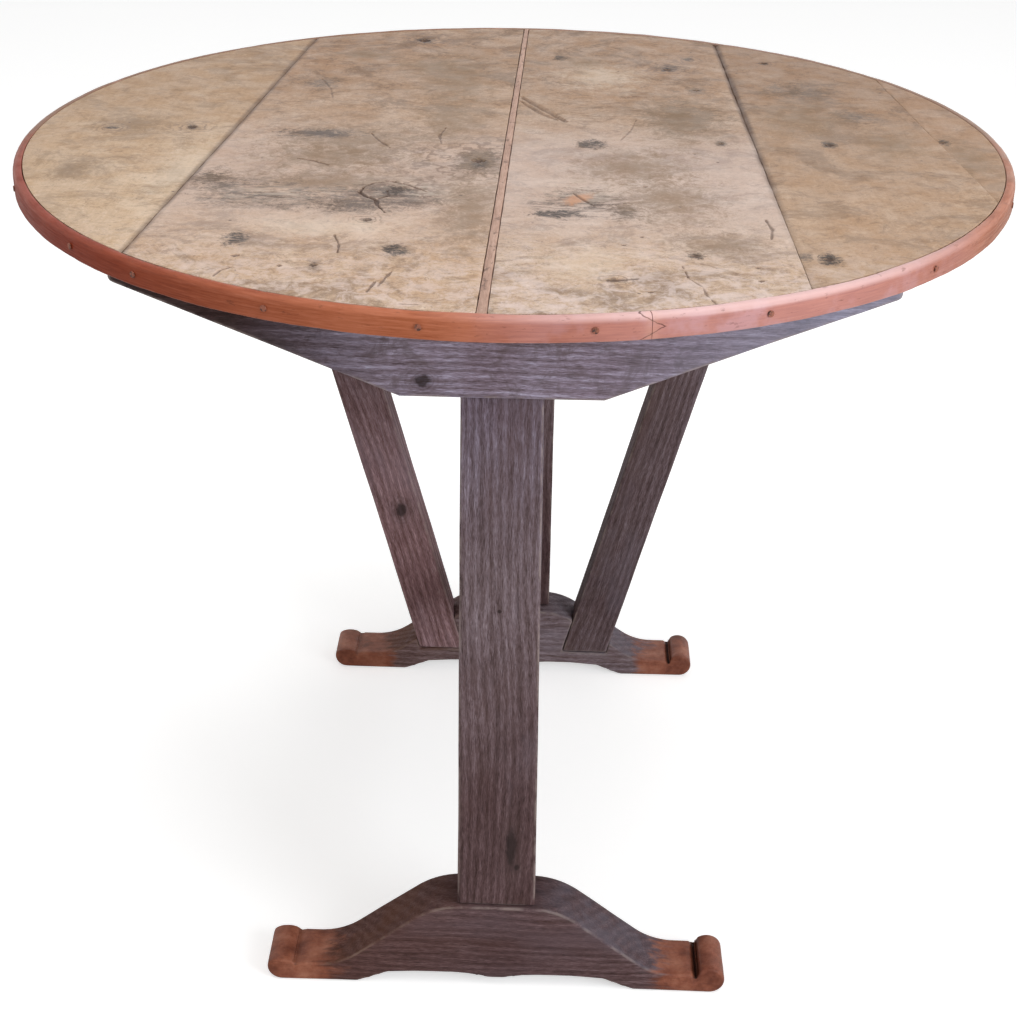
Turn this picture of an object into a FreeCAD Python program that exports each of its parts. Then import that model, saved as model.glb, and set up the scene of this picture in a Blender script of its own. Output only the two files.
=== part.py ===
import FreeCAD, Part
import os
import math
import Sketcher

# Tilt-top table: a round boarded top that turns up about a rear axis, on a fixed
# base of two scrolled feet, a front post, a rear post and two splayed legs.
# Millimetres. +Z is up, +X is to the right and -Y is the front. The origin is on
# the floor under the centre of the top.

SIZES = {
    # round top
    "top_radius": 428.0, "top_high": 730.0, "board_thick": 20.0, "seam_gap": 0.8,
    "band_thick": 8.5, "band_tall": 19.0, "band_gap": 0.2, "band_joint_gap": 0.4,
    "band_joint_front": 107.0, "band_joint_back": -30.0,
    "seam_one_front": -285.0, "seam_one_back": -214.0,
    "strip_front": -10.0, "strip_back": 1.0,
    "strip_wide_front": 7.0, "strip_wide_back": 4.6,
    "seam_three_front": 220.0, "seam_three_back": 200.0,
    "edge_board_front": 10.0, "edge_board_back": 98.0,
    "band_nail_radius": 1.2, "band_nail_long": 22.0,
    "band_head_radius": 2.4, "band_head_thick": 0.8, "nail_gap": 0.05,
    # battens under the top
    "batten_overhang": 2.0, "batten_thick": 44.0, "batten_tall": 110.0,
    "batten_half": 300.0, "batten_flat_half": 80.0, "batten_end_tall": 20.0,
    "batten_nail_radius": 2.5, "batten_nail_cover": 4.0, "batten_nail_step": 120.0,
    "rear_batten_tall": 80.0, "rear_batten_half": 211.0,
    # tilting axis
    "pivot_drop": 50.0, "pivot_radius": 14.0,
    "pivot_gap": 0.1, "pivot_proud": 4.0, "rest_gap": 0.3,
    # feet
    "foot_thick": 50.0, "foot_half": 213.0, "front_foot_inset": 158.0, "rear_foot_inset": 159.0,
    "front_foot_tall": 93.0, "rear_foot_tall": 84.0,
    "neck_tall": 20.0, "neck_at": 147.0, "shoulder_at": 56.0,
    "shoulder_radius": 70.0, "neck_radius": 60.0, "scroll_radius": 14.0,
    "sole_inner": 128.0, "relief_tall": 15.0, "relief_inner": 17.0, "pendant_tall": 9.0,
    "relief_radius": 32.0,
    # posts
    "post_wide": 66.0, "post_foot_wide": 71.0, "post_thick": 46.0, "post_set_back": 4.0,
    "rear_post_wide": 84.0, "rear_post_thick": 34.0, "rear_post_set_back": 15.0,
    "tenon_wide": 40.0, "tenon_thick": 16.0, "tenon_deep": 46.0, "tenon_gap": 0.2,
    "tongue_wide": 30.0, "tongue_thick": 16.0, "tongue_tall": 30.0, "tongue_slack": 7.0,
    # splayed legs
    "leg_wide": 50.0, "leg_thick": 36.0, "leg_lap": 18.0, "leg_foot_at": 85.0,
    "leg_foot_up": 30.0, "leg_head_at": 251.0, "leg_head_up": 28.0,
    # rails
    "rail_wide": 30.0, "rail_tall": 60.0, "rail_tenon_thick": 12.0,
    "rail_tenon_tall": 40.0, "rail_tenon_deep": 28.0,
    "lower_rail_up": 130.0, "upper_rail_drop": 120.0,
    "cross_rail_drop": 100.0, "cross_rail_thick": 30.0, "cross_rail_set_back": 24.0,
    "cross_rail_half": 246.0,
    # pegs
    "peg_radius": 5.0, "peg_short": 6.0, "peg_gap": 0.05,
}

# places that follow from the sizes above
PLACES = {
    "front_foot_y": "front_foot_inset-top_radius",
    "rear_foot_y": "top_radius-rear_foot_inset",
    "front_batten_y": "front_foot_y-batten_overhang",
    "pivot_y": "rear_foot_y+leg_thick/2",
    "upper_rail_up": "top_high-board_thick-batten_tall-upper_rail_drop",
    "cross_rail_up": "top_high-board_thick-pivot_drop-cross_rail_drop",
    "seam_four_front": "top_radius-edge_board_front",
    "seam_four_back": "top_radius-edge_board_back",
}

# nails round the band in degrees, and nails along the rear batten in nail steps
REAR_NAIL_STEPS = ("-1.5", "-0.6", "0.6", "1.5")
BAND_NAIL_ANGLES = (18, 42, 64, 81, 97, 112, 128, 139, 160, 185, 215, 250, 290, 325)

doc = FreeCAD.newDocument("TiltTopTable")
sheet = doc.addObject("Spreadsheet::Sheet", "Sizes")
for row, (alias, value) in enumerate(SIZES.items(), start=1):
    sheet.set("A%d" % row, alias)
    sheet.set("B%d" % row, str(value))
    sheet.setAlias("B%d" % row, alias)
doc.recompute()

NODES = []


def linked(expression):
    """Turns the names of sizes and places in an expression into spreadsheet references."""
    out = ""
    word = ""
    for letter in expression + " ":
        if letter.isalpha() or letter == "_":
            word += letter
            continue
        if word in SIZES:
            word = "Sizes." + word
        elif word in PLACES:
            word = "(" + linked(PLACES[word]) + ")"
        out += word + letter
        word = ""
    return out.strip()


def bind(item, **expressions):
    for prop, expression in expressions.items():
        item.setExpression(prop.replace("__", "."), linked(expression))


def place(item, at_x, at_y, at_z):
    bind(item, Placement__Base__x=at_x, Placement__Base__y=at_y, Placement__Base__z=at_z)


def box(name, x_span, y_span, z_span):
    item = doc.addObject("Part::Box", name)
    sides = ["(%s)-(%s)" % (span[1], span[0]) for span in (x_span, y_span, z_span)]
    bind(item, Length=sides[0], Width=sides[1], Height=sides[2])
    place(item, x_span[0], y_span[0], z_span[0])
    return item


TURNS = {"x": FreeCAD.Rotation(FreeCAD.Vector(0, 1, 0), 90),
         "y": FreeCAD.Rotation(FreeCAD.Vector(1, 0, 0), -90),
         "z": FreeCAD.Rotation()}


def rod(name, along, start, length, radius):
    """A cylinder that runs from start along +X, +Y or +Z."""
    item = doc.addObject("Part::Cylinder", name)
    item.Placement = FreeCAD.Placement(FreeCAD.Vector(), TURNS[along])
    bind(item, Radius=radius, Height=length)
    place(item, *start)
    return item


def board_blank(name, front, back, z_span):
    """A board over the whole depth of the top, its sides straight but not parallel."""
    item = doc.addObject("Part::Wedge", name)
    bind(item, Xmin=front[0], Xmax=front[1], X2min=back[0], X2max=back[1],
         Ymin="-top_radius", Ymax="top_radius",
         Zmin=z_span[0], Zmax=z_span[1], Z2min=z_span[0], Z2max=z_span[1])
    return item


def fuse(name, *shapes):
    item = doc.addObject("Part::MultiFuse", name)
    item.Shapes = list(shapes)
    return item


def common(name, *shapes):
    item = doc.addObject("Part::MultiCommon", name)
    item.Shapes = list(shapes)
    return item


def cut(name, base, *tools):
    item = doc.addObject("Part::Cut", name)
    item.Base = base
    item.Tool = tools[0] if len(tools) == 1 else fuse(name + "_tools", *tools)
    return item


def group(name, *shapes):
    """Separate solids that share one node."""
    item = doc.addObject("Part::Compound", name)
    item.Links = list(shapes)
    return item


def node(item, label):
    item.Label = label
    NODES.append(item)
    return item


def profile_body(name, corners, y_front, thick):
    """A body padded along +Y from a closed outline of (x, z) corners."""
    body = doc.addObject("PartDesign::Body", name)
    sketch = body.newObject("Sketcher::SketchObject", name + "_outline")
    plane = [p for p in body.Origin.OriginFeatures if p.Role == "XZ_Plane"][0]
    sketch.AttachmentSupport = [(plane, "")]
    sketch.MapMode = "FlatFace"
    sketch.setExpression("AttachmentOffset.Base.z", linked("-(%s)" % y_front))
    values = [tuple(number(part) for part in corner) for corner in corners]
    count = len(corners)
    for index in range(count):
        start = FreeCAD.Vector(values[index][0], values[index][1], 0)
        end = FreeCAD.Vector(*values[(index + 1) % count], 0)
        sketch.addGeometry(Part.LineSegment(start, end), False)
    for index in range(count):
        sketch.addConstraint(Sketcher.Constraint(
            "Coincident", index, 2, (index + 1) % count, 1))
    for index in range(count):
        for axis, kind in ((0, "DistanceX"), (1, "DistanceY")):
            where = sketch.addConstraint(Sketcher.Constraint(
                kind, -1, 1, index, 1, values[index][axis]))
            sketch.setExpression("Constraints[%d]" % where, linked(corners[index][axis]))
    pad = body.newObject("PartDesign::Pad", name + "_pad")
    pad.Profile = sketch
    pad.Reversed = True
    pad.setExpression("Length", linked(thick))
    body.Tip = pad
    doc.recompute()
    return body


def number(expression):
    """The value of an expression in millimetres."""
    probe = doc.addObject("Part::Sphere", "Probe")
    probe.setExpression("Placement.Base.x", linked(expression))
    probe.recompute()
    value = probe.Placement.Base.x
    doc.removeObject(probe.Name)
    return value


def round_corner(body, x_at, z_at, radius, name):
    """Rounds the edge of a profile body that runs along Y through (x_at, z_at)."""
    base = body.Tip
    for index, edge in enumerate(base.Shape.Edges, start=1):
        ends = [vertex.Point for vertex in edge.Vertexes]
        if all(math.hypot(p.x - x_at, p.z - z_at) < 0.05 for p in ends):
            fillet = body.newObject("PartDesign::Fillet", name)
            fillet.Base = (base, ["Edge%d" % index])
            fillet.setExpression("Radius", linked(radius))
            body.Tip = fillet
            doc.recompute()
            return


def mirrored(name, source):
    """A copy mirrored left to right."""
    item = doc.addObject("Part::Mirroring", name)
    item.Source = source
    item.Normal = FreeCAD.Vector(1, 0, 0)
    return item


BOARD_LOW = "top_high-board_thick"

# --- round top: five boards, a filler strip and a bent band in two halves ---


def make_boards():
    disc_radius = "top_radius-band_thick-band_gap"
    limits = [
        (("-top_radius", "-top_radius"), ("seam_one_front-seam_gap/2", "seam_one_back-seam_gap/2")),
        (("seam_one_front+seam_gap/2", "seam_one_back+seam_gap/2"),
         ("strip_front-strip_wide_front/2-seam_gap", "strip_back-strip_wide_back/2-seam_gap")),
        (("strip_front+strip_wide_front/2+seam_gap", "strip_back+strip_wide_back/2+seam_gap"),
         ("seam_three_front-seam_gap/2", "seam_three_back-seam_gap/2")),
        (("seam_three_front+seam_gap/2", "seam_three_back+seam_gap/2"),
         ("seam_four_front-seam_gap/4", "seam_four_back-seam_gap/4")),
        (("seam_four_front+seam_gap/4", "seam_four_back+seam_gap/4"),
         ("top_radius+seam_gap", "top_radius+seam_gap")),
    ]
    boards = []
    for index, (left, right) in enumerate(limits, start=1):
        blank = board_blank("Board%dBlank" % index, (left[0], right[0]), (left[1], right[1]),
                            (BOARD_LOW, "top_high"))
        disc = rod("Board%dDisc" % index, "z", ("0", "0", BOARD_LOW), "board_thick", disc_radius)
        boards.append(common("Board%dRound" % index, blank, disc))
    strip_blank = board_blank(
        "StripBlank",
        ("strip_front-strip_wide_front/2", "strip_front+strip_wide_front/2"),
        ("strip_back-strip_wide_back/2", "strip_back+strip_wide_back/2"),
        (BOARD_LOW, "top_high"))
    strip_disc = rod("StripDisc", "z", ("0", "0", BOARD_LOW), "board_thick", disc_radius)
    return boards, common("StripRound", strip_blank, strip_disc)


def make_band():
    band_low = "top_high-band_tall"
    halves = []
    for side, front, back in (
            ("Left", ("-top_radius-band_thick", "band_joint_front-band_joint_gap/2"),
             ("-top_radius-band_thick", "band_joint_back-band_joint_gap/2")),
            ("Right", ("band_joint_front+band_joint_gap/2", "top_radius+band_thick"),
             ("band_joint_back+band_joint_gap/2", "top_radius+band_thick"))):
        outer = rod("Band%sOuter" % side, "z", ("0", "0", band_low), "band_tall", "top_radius")
        inner = rod("Band%sInner" % side, "z", ("0", "0", band_low), "band_tall",
                    "top_radius-band_thick")
        ring = cut("Band%sRing" % side, outer, inner)
        halves.append(common("Band%sHalf" % side, ring,
                             board_blank("Band%sBlank" % side, front, back,
                                         (band_low, "top_high"))))
    return halves


def band_nail_parts(name, gap, heads):
    """Radial nails through the band into the boards, at half the band's height."""
    out = []
    shank_long = "band_nail_long+band_head_thick"
    for index, angle in enumerate(BAND_NAIL_ANGLES):
        parts = [("Shank", shank_long, "band_nail_radius+%s" % gap)]
        if heads:
            parts.append(("Head", "band_head_thick", "band_head_radius"))
        solids = []
        for kind, length, radius in parts:
            item = doc.addObject("Part::Cylinder", "%s%s%d" % (name, kind, index))
            facing = FreeCAD.Vector(-math.cos(math.radians(angle)),
                                    math.sin(math.radians(angle)), 0)
            item.Placement = FreeCAD.Placement(
                FreeCAD.Vector(), FreeCAD.Rotation(FreeCAD.Vector(0, 0, 1), facing))
            bind(item, Radius=radius, Height=length)
            reach = "(top_radius+band_head_thick)"
            place(item, "cos(%d)*%s" % (angle, reach), "-sin(%d)*%s" % (angle, reach),
                  "top_high-band_tall/2")
            solids.append(item)
        out.append(solids[0] if len(solids) == 1 else fuse("%sWhole%d" % (name, index), *solids))
    return out


# --- battens under the top ---

BATTEN_LOW = "top_high-board_thick-batten_tall"
PIVOT_UP = "top_high-board_thick-pivot_drop"


def make_front_batten():
    slope_top = "top_high-board_thick-batten_end_tall"
    corners = [
        ("-batten_half", BOARD_LOW), ("-batten_half", slope_top),
        ("-batten_flat_half", BATTEN_LOW), ("batten_flat_half", BATTEN_LOW),
        ("batten_half", slope_top), ("batten_half", BOARD_LOW)]
    blank = profile_body("FrontBattenBlank", corners, "front_batten_y", "batten_thick")
    middle = "front_foot_y+post_set_back+post_thick/2"
    mortise = box("TongueMortise",
                  ("-tongue_wide/2-tongue_slack", "tongue_wide/2+tongue_slack"),
                  (middle + "-tongue_thick/2-tongue_slack",
                   middle + "+tongue_thick/2+tongue_slack"),
                  (BATTEN_LOW, BATTEN_LOW + "+tongue_tall+tongue_slack"))
    return blank, mortise


def make_rear_batten():
    bar = box("RearBattenBar", ("-rear_batten_half", "rear_batten_half"),
              ("pivot_y-batten_thick/2", "pivot_y+batten_thick/2"),
              (BOARD_LOW + "-rear_batten_tall", BOARD_LOW))
    reach = "leg_head_at+leg_wide/2+pivot_proud"
    axle = rod("RearBattenAxle", "x", ("-(%s)" % reach, "pivot_y", PIVOT_UP),
               "2*(%s)" % reach, "pivot_radius")
    return fuse("RearBattenWhole", bar, axle)


def batten_nail_parts(name, gap, batten_y, lows):
    """Nails driven up through a batten into the boards, at steps either side of the middle."""
    out = []
    for index, (step, low) in enumerate(lows):
        start = ("%s*batten_nail_step" % step, batten_y, low)
        out.append(rod("%s%d" % (name, index), "z", start,
                       "top_high-batten_nail_cover-(%s)" % low, "batten_nail_radius+%s" % gap))
    return out


# --- scrolled feet ---


def make_foot(name, y_front, tall):
    corners = [
        ("-foot_half+scroll_radius", "0"), ("-sole_inner", "0"),
        ("-sole_inner+relief_tall", "relief_tall"), ("-relief_inner", "relief_tall"),
        ("-relief_inner+relief_tall-pendant_tall", "pendant_tall"),
        ("relief_inner-relief_tall+pendant_tall", "pendant_tall"),
        ("relief_inner", "relief_tall"), ("sole_inner-relief_tall", "relief_tall"),
        ("sole_inner", "0"), ("foot_half-scroll_radius", "0"),
        ("foot_half-scroll_radius", "neck_tall"), ("neck_at", "neck_tall"),
        ("shoulder_at", tall), ("-shoulder_at", tall),
        ("-neck_at", "neck_tall"), ("-foot_half+scroll_radius", "neck_tall")]
    body = profile_body(name + "Bar", corners, y_front, "foot_thick")
    for side in (-1, 1):
        round_corner(body, side * SIZES["shoulder_at"], number(tall), "shoulder_radius",
                     "%sShoulder%d" % (name, side + 1))
        round_corner(body, side * SIZES["neck_at"], SIZES["neck_tall"], "neck_radius",
                     "%sNeck%d" % (name, side + 1))
        round_corner(body, side * (SIZES["sole_inner"] - SIZES["relief_tall"]),
                     SIZES["relief_tall"], "relief_radius", "%sRelief%d" % (name, side + 1))
    scrolls = [rod("%sScroll%s" % (name, side), "y",
                   (at, y_front, "scroll_radius"), "foot_thick", "scroll_radius")
               for side, at in (("Left", "-foot_half+scroll_radius"),
                                ("Right", "foot_half-scroll_radius"))]
    return fuse(name + "Blank", body, *scrolls)


# --- posts ---

FRONT_POST_Y = "front_foot_y+post_set_back"
REAR_POST_Y = "rear_foot_y+rear_post_set_back"
POST_TOP = BATTEN_LOW + "-rest_gap"


def tenon(name, middle_y, z_span, gap):
    return box(name, ("-tenon_wide/2-%s" % gap, "tenon_wide/2+%s" % gap),
               ("%s-tenon_thick/2-%s" % (middle_y, gap), "%s+tenon_thick/2+%s" % (middle_y, gap)),
               z_span)


def make_front_post():
    middle = FRONT_POST_Y + "+post_thick/2"
    corners = [("-post_foot_wide/2", "front_foot_tall"), ("-post_wide/2", POST_TOP),
               ("post_wide/2", POST_TOP), ("post_foot_wide/2", "front_foot_tall")]
    shaft = profile_body("FrontPostShaft", corners, FRONT_POST_Y, "post_thick")
    foot_tenon = tenon("FrontPostTenon", middle,
                       ("front_foot_tall-tenon_deep", "front_foot_tall"), "0")
    tongue = box("FrontPostTongue", ("-tongue_wide/2", "tongue_wide/2"),
                 (middle + "-tongue_thick/2", middle + "+tongue_thick/2"),
                 (POST_TOP, POST_TOP + "+tongue_tall"))
    return fuse("FrontPostBlank", shaft, foot_tenon, tongue)


def make_rear_post():
    middle = REAR_POST_Y + "+rear_post_thick/2"
    shaft = box("RearPostShaft", ("-rear_post_wide/2", "rear_post_wide/2"),
                (REAR_POST_Y, REAR_POST_Y + "+rear_post_thick"),
                ("rear_foot_tall", "cross_rail_up"))
    low = tenon("RearPostTenon", middle, ("rear_foot_tall-tenon_deep", "rear_foot_tall"), "0")
    high = tenon("RearPostHeadTenon", middle,
                 ("cross_rail_up", "cross_rail_up+rail_tenon_tall"), "0")
    return fuse("RearPostBlank", shaft, low, high)


# --- splayed legs ---

LEG_LEAN = "(leg_head_at-leg_foot_at)/(%s-leg_foot_up)" % PIVOT_UP


def make_leg_blank(name):
    """The right leg before its laps: a leaning bar, cut level at both ends."""
    half = "leg_wide/2*sqrt(1+(%s)^2)" % LEG_LEAN
    head_at = "leg_head_at+leg_head_up*%s" % LEG_LEAN
    head_up = PIVOT_UP + "+leg_head_up"
    corners = [("leg_foot_at-%s" % half, "leg_foot_up"), ("leg_foot_at+%s" % half, "leg_foot_up"),
               ("%s+%s" % (head_at, half), head_up), ("%s-%s" % (head_at, half), head_up)]
    return profile_body(name, corners, "rear_foot_y", "leg_thick")


# --- rails ---


def make_rail(name, low):
    start = FRONT_POST_Y + "+post_thick"
    bar = box(name + "Bar", ("-rail_wide/2", "rail_wide/2"), (start, REAR_POST_Y),
              (low, low + "+rail_tall"))
    return fuse(name + "Whole", bar, rail_tenons(name + "Tenons", low, "0"))


def rail_tenons(name, low, gap):
    """One bar through both ends of a rail: its tenons, or with a gap their mortises."""
    middle = "%s+rail_tall/2" % low
    return box(name, ("-rail_tenon_thick/2-%s" % gap, "rail_tenon_thick/2+%s" % gap),
               (FRONT_POST_Y + "+post_thick-rail_tenon_deep-%s" % gap,
                REAR_POST_Y + "+rail_tenon_deep+%s" % gap),
               (middle + "-rail_tenon_tall/2-%s" % gap, middle + "+rail_tenon_tall/2+%s" % gap))


def make_cross_rail():
    return box("CrossRailBar", ("-cross_rail_half", "cross_rail_half"),
               ("rear_foot_y+cross_rail_set_back",
                "rear_foot_y+cross_rail_set_back+cross_rail_thick"),
               ("cross_rail_up", "cross_rail_up+rail_tall"))


# --- pegs ---


def foot_pegs(name, y_front, tall, gap):
    """Blind pegs from the back of a foot through the tenon of its post."""
    return [rod("%s%d" % (name, index), "y",
                ("%s*tenon_wide/4" % side, "%s+peg_short-%s" % (y_front, gap),
                 "%s-tenon_deep/2" % tall),
                "foot_thick-peg_short+%s" % gap, "peg_radius+%s" % gap)
            for index, side in enumerate(("-1", "1"))]


def lap_pegs(name, gap):
    """Blind pegs from the back of the rear foot into the two leg laps."""
    at = "leg_foot_at+(rear_foot_tall/2-leg_foot_up)*%s" % LEG_LEAN
    return [rod("%s%d" % (name, index), "y",
                ("%s*(%s)" % (side, at), "rear_foot_y+peg_short-%s" % gap, "rear_foot_tall/2"),
                "foot_thick-peg_short+%s" % gap, "peg_radius+%s" % gap)
            for index, side in enumerate(("-1", "1"))]


def cross_pegs(name, gap):
    """Blind pegs from the back of the cross rail into the two legs."""
    middle = "cross_rail_up+rail_tall/2"
    at = "leg_foot_at+(%s-leg_foot_up)*%s-leg_wide/8" % (middle, LEG_LEAN)
    return [rod("%s%d" % (name, index), "y",
                ("%s*(%s)" % (side, at), "rear_foot_y+peg_short-%s" % gap, middle),
                "cross_rail_set_back+cross_rail_thick-peg_short+%s" % gap, "peg_radius+%s" % gap)
            for index, side in enumerate(("-1", "1"))]


def rail_pegs(name, gap, front_start):
    """Blind pegs from the left of each post through the rail tenons."""
    out = []
    for end, (y_at, start, wide) in enumerate((
            (FRONT_POST_Y + "+post_thick-rail_tenon_deep/2", front_start, "post_wide/2"),
            (REAR_POST_Y + "+rail_tenon_deep/2", "rear_post_wide/2", "rear_post_wide/2"))):
        for index, low in enumerate(("lower_rail_up", "upper_rail_up")):
            out.append(rod("%s%d%d" % (name, end, index), "x",
                           ("-(%s)" % start, y_at, low + "+rail_tall/2"),
                           "%s+%s-peg_short+%s" % (start, wide, gap), "peg_radius+%s" % gap))
    return out


# --- assembly of the top ---

boards, strip = make_boards()
band_left, band_right = make_band()
front_blank, tongue_mortise = make_front_batten()
rear_blank = make_rear_batten()

nail_lows = [(step, "%s-batten_end_tall-(batten_half-%s*batten_nail_step)"
              "*(batten_tall-batten_end_tall)/(batten_half-batten_flat_half)" % (BOARD_LOW, away))
             for step, away in (("-2", "2"), ("-1", "1"), ("1", "1"), ("2", "2"))]
rear_lows = [(step, BOARD_LOW + "-rear_batten_tall") for step in REAR_NAIL_STEPS]
FRONT_NAIL_Y = "front_batten_y+batten_thick/2"

band_holes = fuse("BandNailHoles", *band_nail_parts("BandHole", "nail_gap", False))
batten_holes = fuse(
    "BattenNailHoles",
    *batten_nail_parts("FrontNailHole", "nail_gap", FRONT_NAIL_Y, nail_lows),
    *batten_nail_parts("RearNailHole", "nail_gap", "pivot_y", rear_lows))

for index, board in enumerate(boards, start=1):
    node(cut("Board%d" % index, board, band_holes, batten_holes), "board_%d" % index)
node(cut("FillerStrip", strip, band_holes), "filler_strip")
node(cut("BandLeft", band_left, band_holes), "edge_band_left")
node(cut("BandRight", band_right, band_holes), "edge_band_right")
node(group("BandNails", *band_nail_parts("BandNail", "0", True)), "band_nails")
node(cut("FrontBatten", front_blank, tongue_mortise, batten_holes), "front_batten")
node(group("FrontBattenNails", *batten_nail_parts("FrontNail", "0", FRONT_NAIL_Y, nail_lows)),
     "front_batten_nails")
node(cut("RearBatten", rear_blank, batten_holes), "rear_batten")
node(group("RearBattenNails", *batten_nail_parts("RearNail", "0", "pivot_y", rear_lows)),
     "rear_batten_nails")

# --- assembly of the base ---

front_middle = FRONT_POST_Y + "+post_thick/2"
rear_middle = REAR_POST_Y + "+rear_post_thick/2"
front_mortise = tenon("FrontFootMortise", front_middle,
                      ("front_foot_tall-tenon_deep-tenon_gap", "front_foot_tall"), "tenon_gap")
rear_mortise = tenon("RearFootMortise", rear_middle,
                     ("rear_foot_tall-tenon_deep-tenon_gap", "rear_foot_tall"), "tenon_gap")
head_mortise = tenon("CrossRailMortise", rear_middle,
                     ("cross_rail_up", "cross_rail_up+rail_tenon_tall+tenon_gap"), "tenon_gap")
rail_mortises = fuse("RailMortises",
                     rail_tenons("LowerMortise", "lower_rail_up", "tenon_gap"),
                     rail_tenons("UpperMortise", "upper_rail_up", "tenon_gap"))
foot_peg_holes = fuse("FootPegHoles",
                      *foot_pegs("FrontFootPegHole", "front_foot_y", "front_foot_tall", "peg_gap"),
                      *foot_pegs("RearFootPegHole", "rear_foot_y", "rear_foot_tall", "peg_gap"))
leg_peg_holes = fuse("LegPegHoles", *lap_pegs("LapPegHole", "peg_gap"),
                     *cross_pegs("CrossPegHole", "peg_gap"))
rail_peg_holes = fuse("RailPegHoles", *rail_pegs("RailPegHole", "peg_gap", "post_foot_wide/2"))

front_foot_blank = make_foot("FrontFoot", "front_foot_y", "front_foot_tall")
rear_foot_blank = make_foot("RearFoot", "rear_foot_y", "rear_foot_tall")
rear_foot_back = common("RearFootBack", rear_foot_blank,
                        box("RearFootBackHalf", ("-foot_half", "foot_half"),
                            ("rear_foot_y+leg_lap", "rear_foot_y+foot_thick"),
                            ("0", "rear_foot_tall")))
cross_rail_blank = make_cross_rail()

right_blank = make_leg_blank("RightLegBlank")
reach = "leg_head_at+leg_wide/2+pivot_proud"
pivot_hole = rod("PivotHole", "x", ("-(%s)" % reach, "pivot_y", PIVOT_UP), "2*(%s)" % reach,
                 "pivot_radius+pivot_gap")
left_blank = mirrored("LeftLegBlank", right_blank)
right_lapped = cut("RightLegLapped", right_blank, rear_foot_back, cross_rail_blank)
left_lapped = cut("LeftLegLapped", left_blank, rear_foot_back, cross_rail_blank)

node(cut("FrontFoot", front_foot_blank, front_mortise, foot_peg_holes), "front_foot")
node(cut("FrontPost", make_front_post(), rail_mortises, foot_peg_holes, rail_peg_holes),
     "front_post")
node(group("FrontFootPegs", *foot_pegs("FrontFootPeg", "front_foot_y", "front_foot_tall", "0")),
     "front_foot_pegs")
node(cut("RearFoot", rear_foot_blank, rear_mortise, foot_peg_holes, leg_peg_holes,
         right_lapped, left_lapped), "rear_foot")
node(cut("LegLeft", left_lapped, pivot_hole, leg_peg_holes), "v_leg_left")
node(cut("LegRight", right_lapped, pivot_hole, leg_peg_holes), "v_leg_right")
node(group("LapPegs", *lap_pegs("LapPeg", "0")), "leg_lap_pegs")
node(cut("RearPost", make_rear_post(), rail_mortises, foot_peg_holes, rail_peg_holes),
     "rear_post")
node(group("RearFootPegs", *foot_pegs("RearFootPeg", "rear_foot_y", "rear_foot_tall", "0")),
     "rear_foot_pegs")
node(cut("CrossRail", cross_rail_blank, head_mortise, leg_peg_holes), "cross_rail")
node(group("CrossPegs", *cross_pegs("CrossPeg", "0")), "cross_rail_pegs")
node(cut("LowerRail", make_rail("LowerRail", "lower_rail_up"), rail_peg_holes), "lower_rail")
node(cut("UpperRail", make_rail("UpperRail", "upper_rail_up"), rail_peg_holes), "upper_rail")
node(group("RailPegs", *rail_pegs("RailPeg", "0", "post_wide/2")), "rail_pegs")

doc.recompute()

# --- checks and export ---

for item in doc.Objects:
    if "Invalid" in item.State or "Error" in item.State:
        raise RuntimeError("%s could not be worked out: %s" % (item.Name, item.State))
os.makedirs("parts", exist_ok=True)
for item in NODES:
    shape = item.Shape
    if shape.isNull() or not shape.isValid() or not shape.Solids:
        raise RuntimeError("%s has no sound solid" % item.Label)
for item in NODES:
    item.Shape.exportStep("parts/%s.step" % item.Label)
    print("%-20s %2d solids %10.1f cm3" % (
        item.Label, len(item.Shape.Solids), item.Shape.Volume / 1000))
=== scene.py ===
import bpy
import math
import numpy as np
from mathutils import Matrix, Vector, noise


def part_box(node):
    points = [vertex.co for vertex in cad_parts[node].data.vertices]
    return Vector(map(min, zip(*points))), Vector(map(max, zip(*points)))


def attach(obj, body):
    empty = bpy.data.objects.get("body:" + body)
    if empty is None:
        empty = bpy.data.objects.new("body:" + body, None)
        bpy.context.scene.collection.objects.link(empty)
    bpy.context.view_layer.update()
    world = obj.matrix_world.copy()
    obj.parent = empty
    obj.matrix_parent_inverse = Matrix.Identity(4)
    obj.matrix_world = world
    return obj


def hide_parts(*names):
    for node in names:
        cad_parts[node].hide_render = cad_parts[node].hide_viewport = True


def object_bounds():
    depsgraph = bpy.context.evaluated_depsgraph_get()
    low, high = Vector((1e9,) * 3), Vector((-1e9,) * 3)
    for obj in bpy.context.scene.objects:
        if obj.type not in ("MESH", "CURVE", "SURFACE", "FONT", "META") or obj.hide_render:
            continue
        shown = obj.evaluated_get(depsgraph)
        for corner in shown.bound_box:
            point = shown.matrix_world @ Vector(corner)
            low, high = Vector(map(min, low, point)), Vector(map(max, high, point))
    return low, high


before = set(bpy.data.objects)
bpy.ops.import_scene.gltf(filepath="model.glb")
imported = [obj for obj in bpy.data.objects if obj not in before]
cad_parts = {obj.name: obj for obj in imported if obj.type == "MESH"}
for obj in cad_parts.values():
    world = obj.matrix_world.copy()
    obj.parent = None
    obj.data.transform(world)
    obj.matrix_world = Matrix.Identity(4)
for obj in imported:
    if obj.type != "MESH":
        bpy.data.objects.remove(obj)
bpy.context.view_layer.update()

# A round tilt-top table in old timber. Metres, Z up, the front towards -Y.

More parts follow.
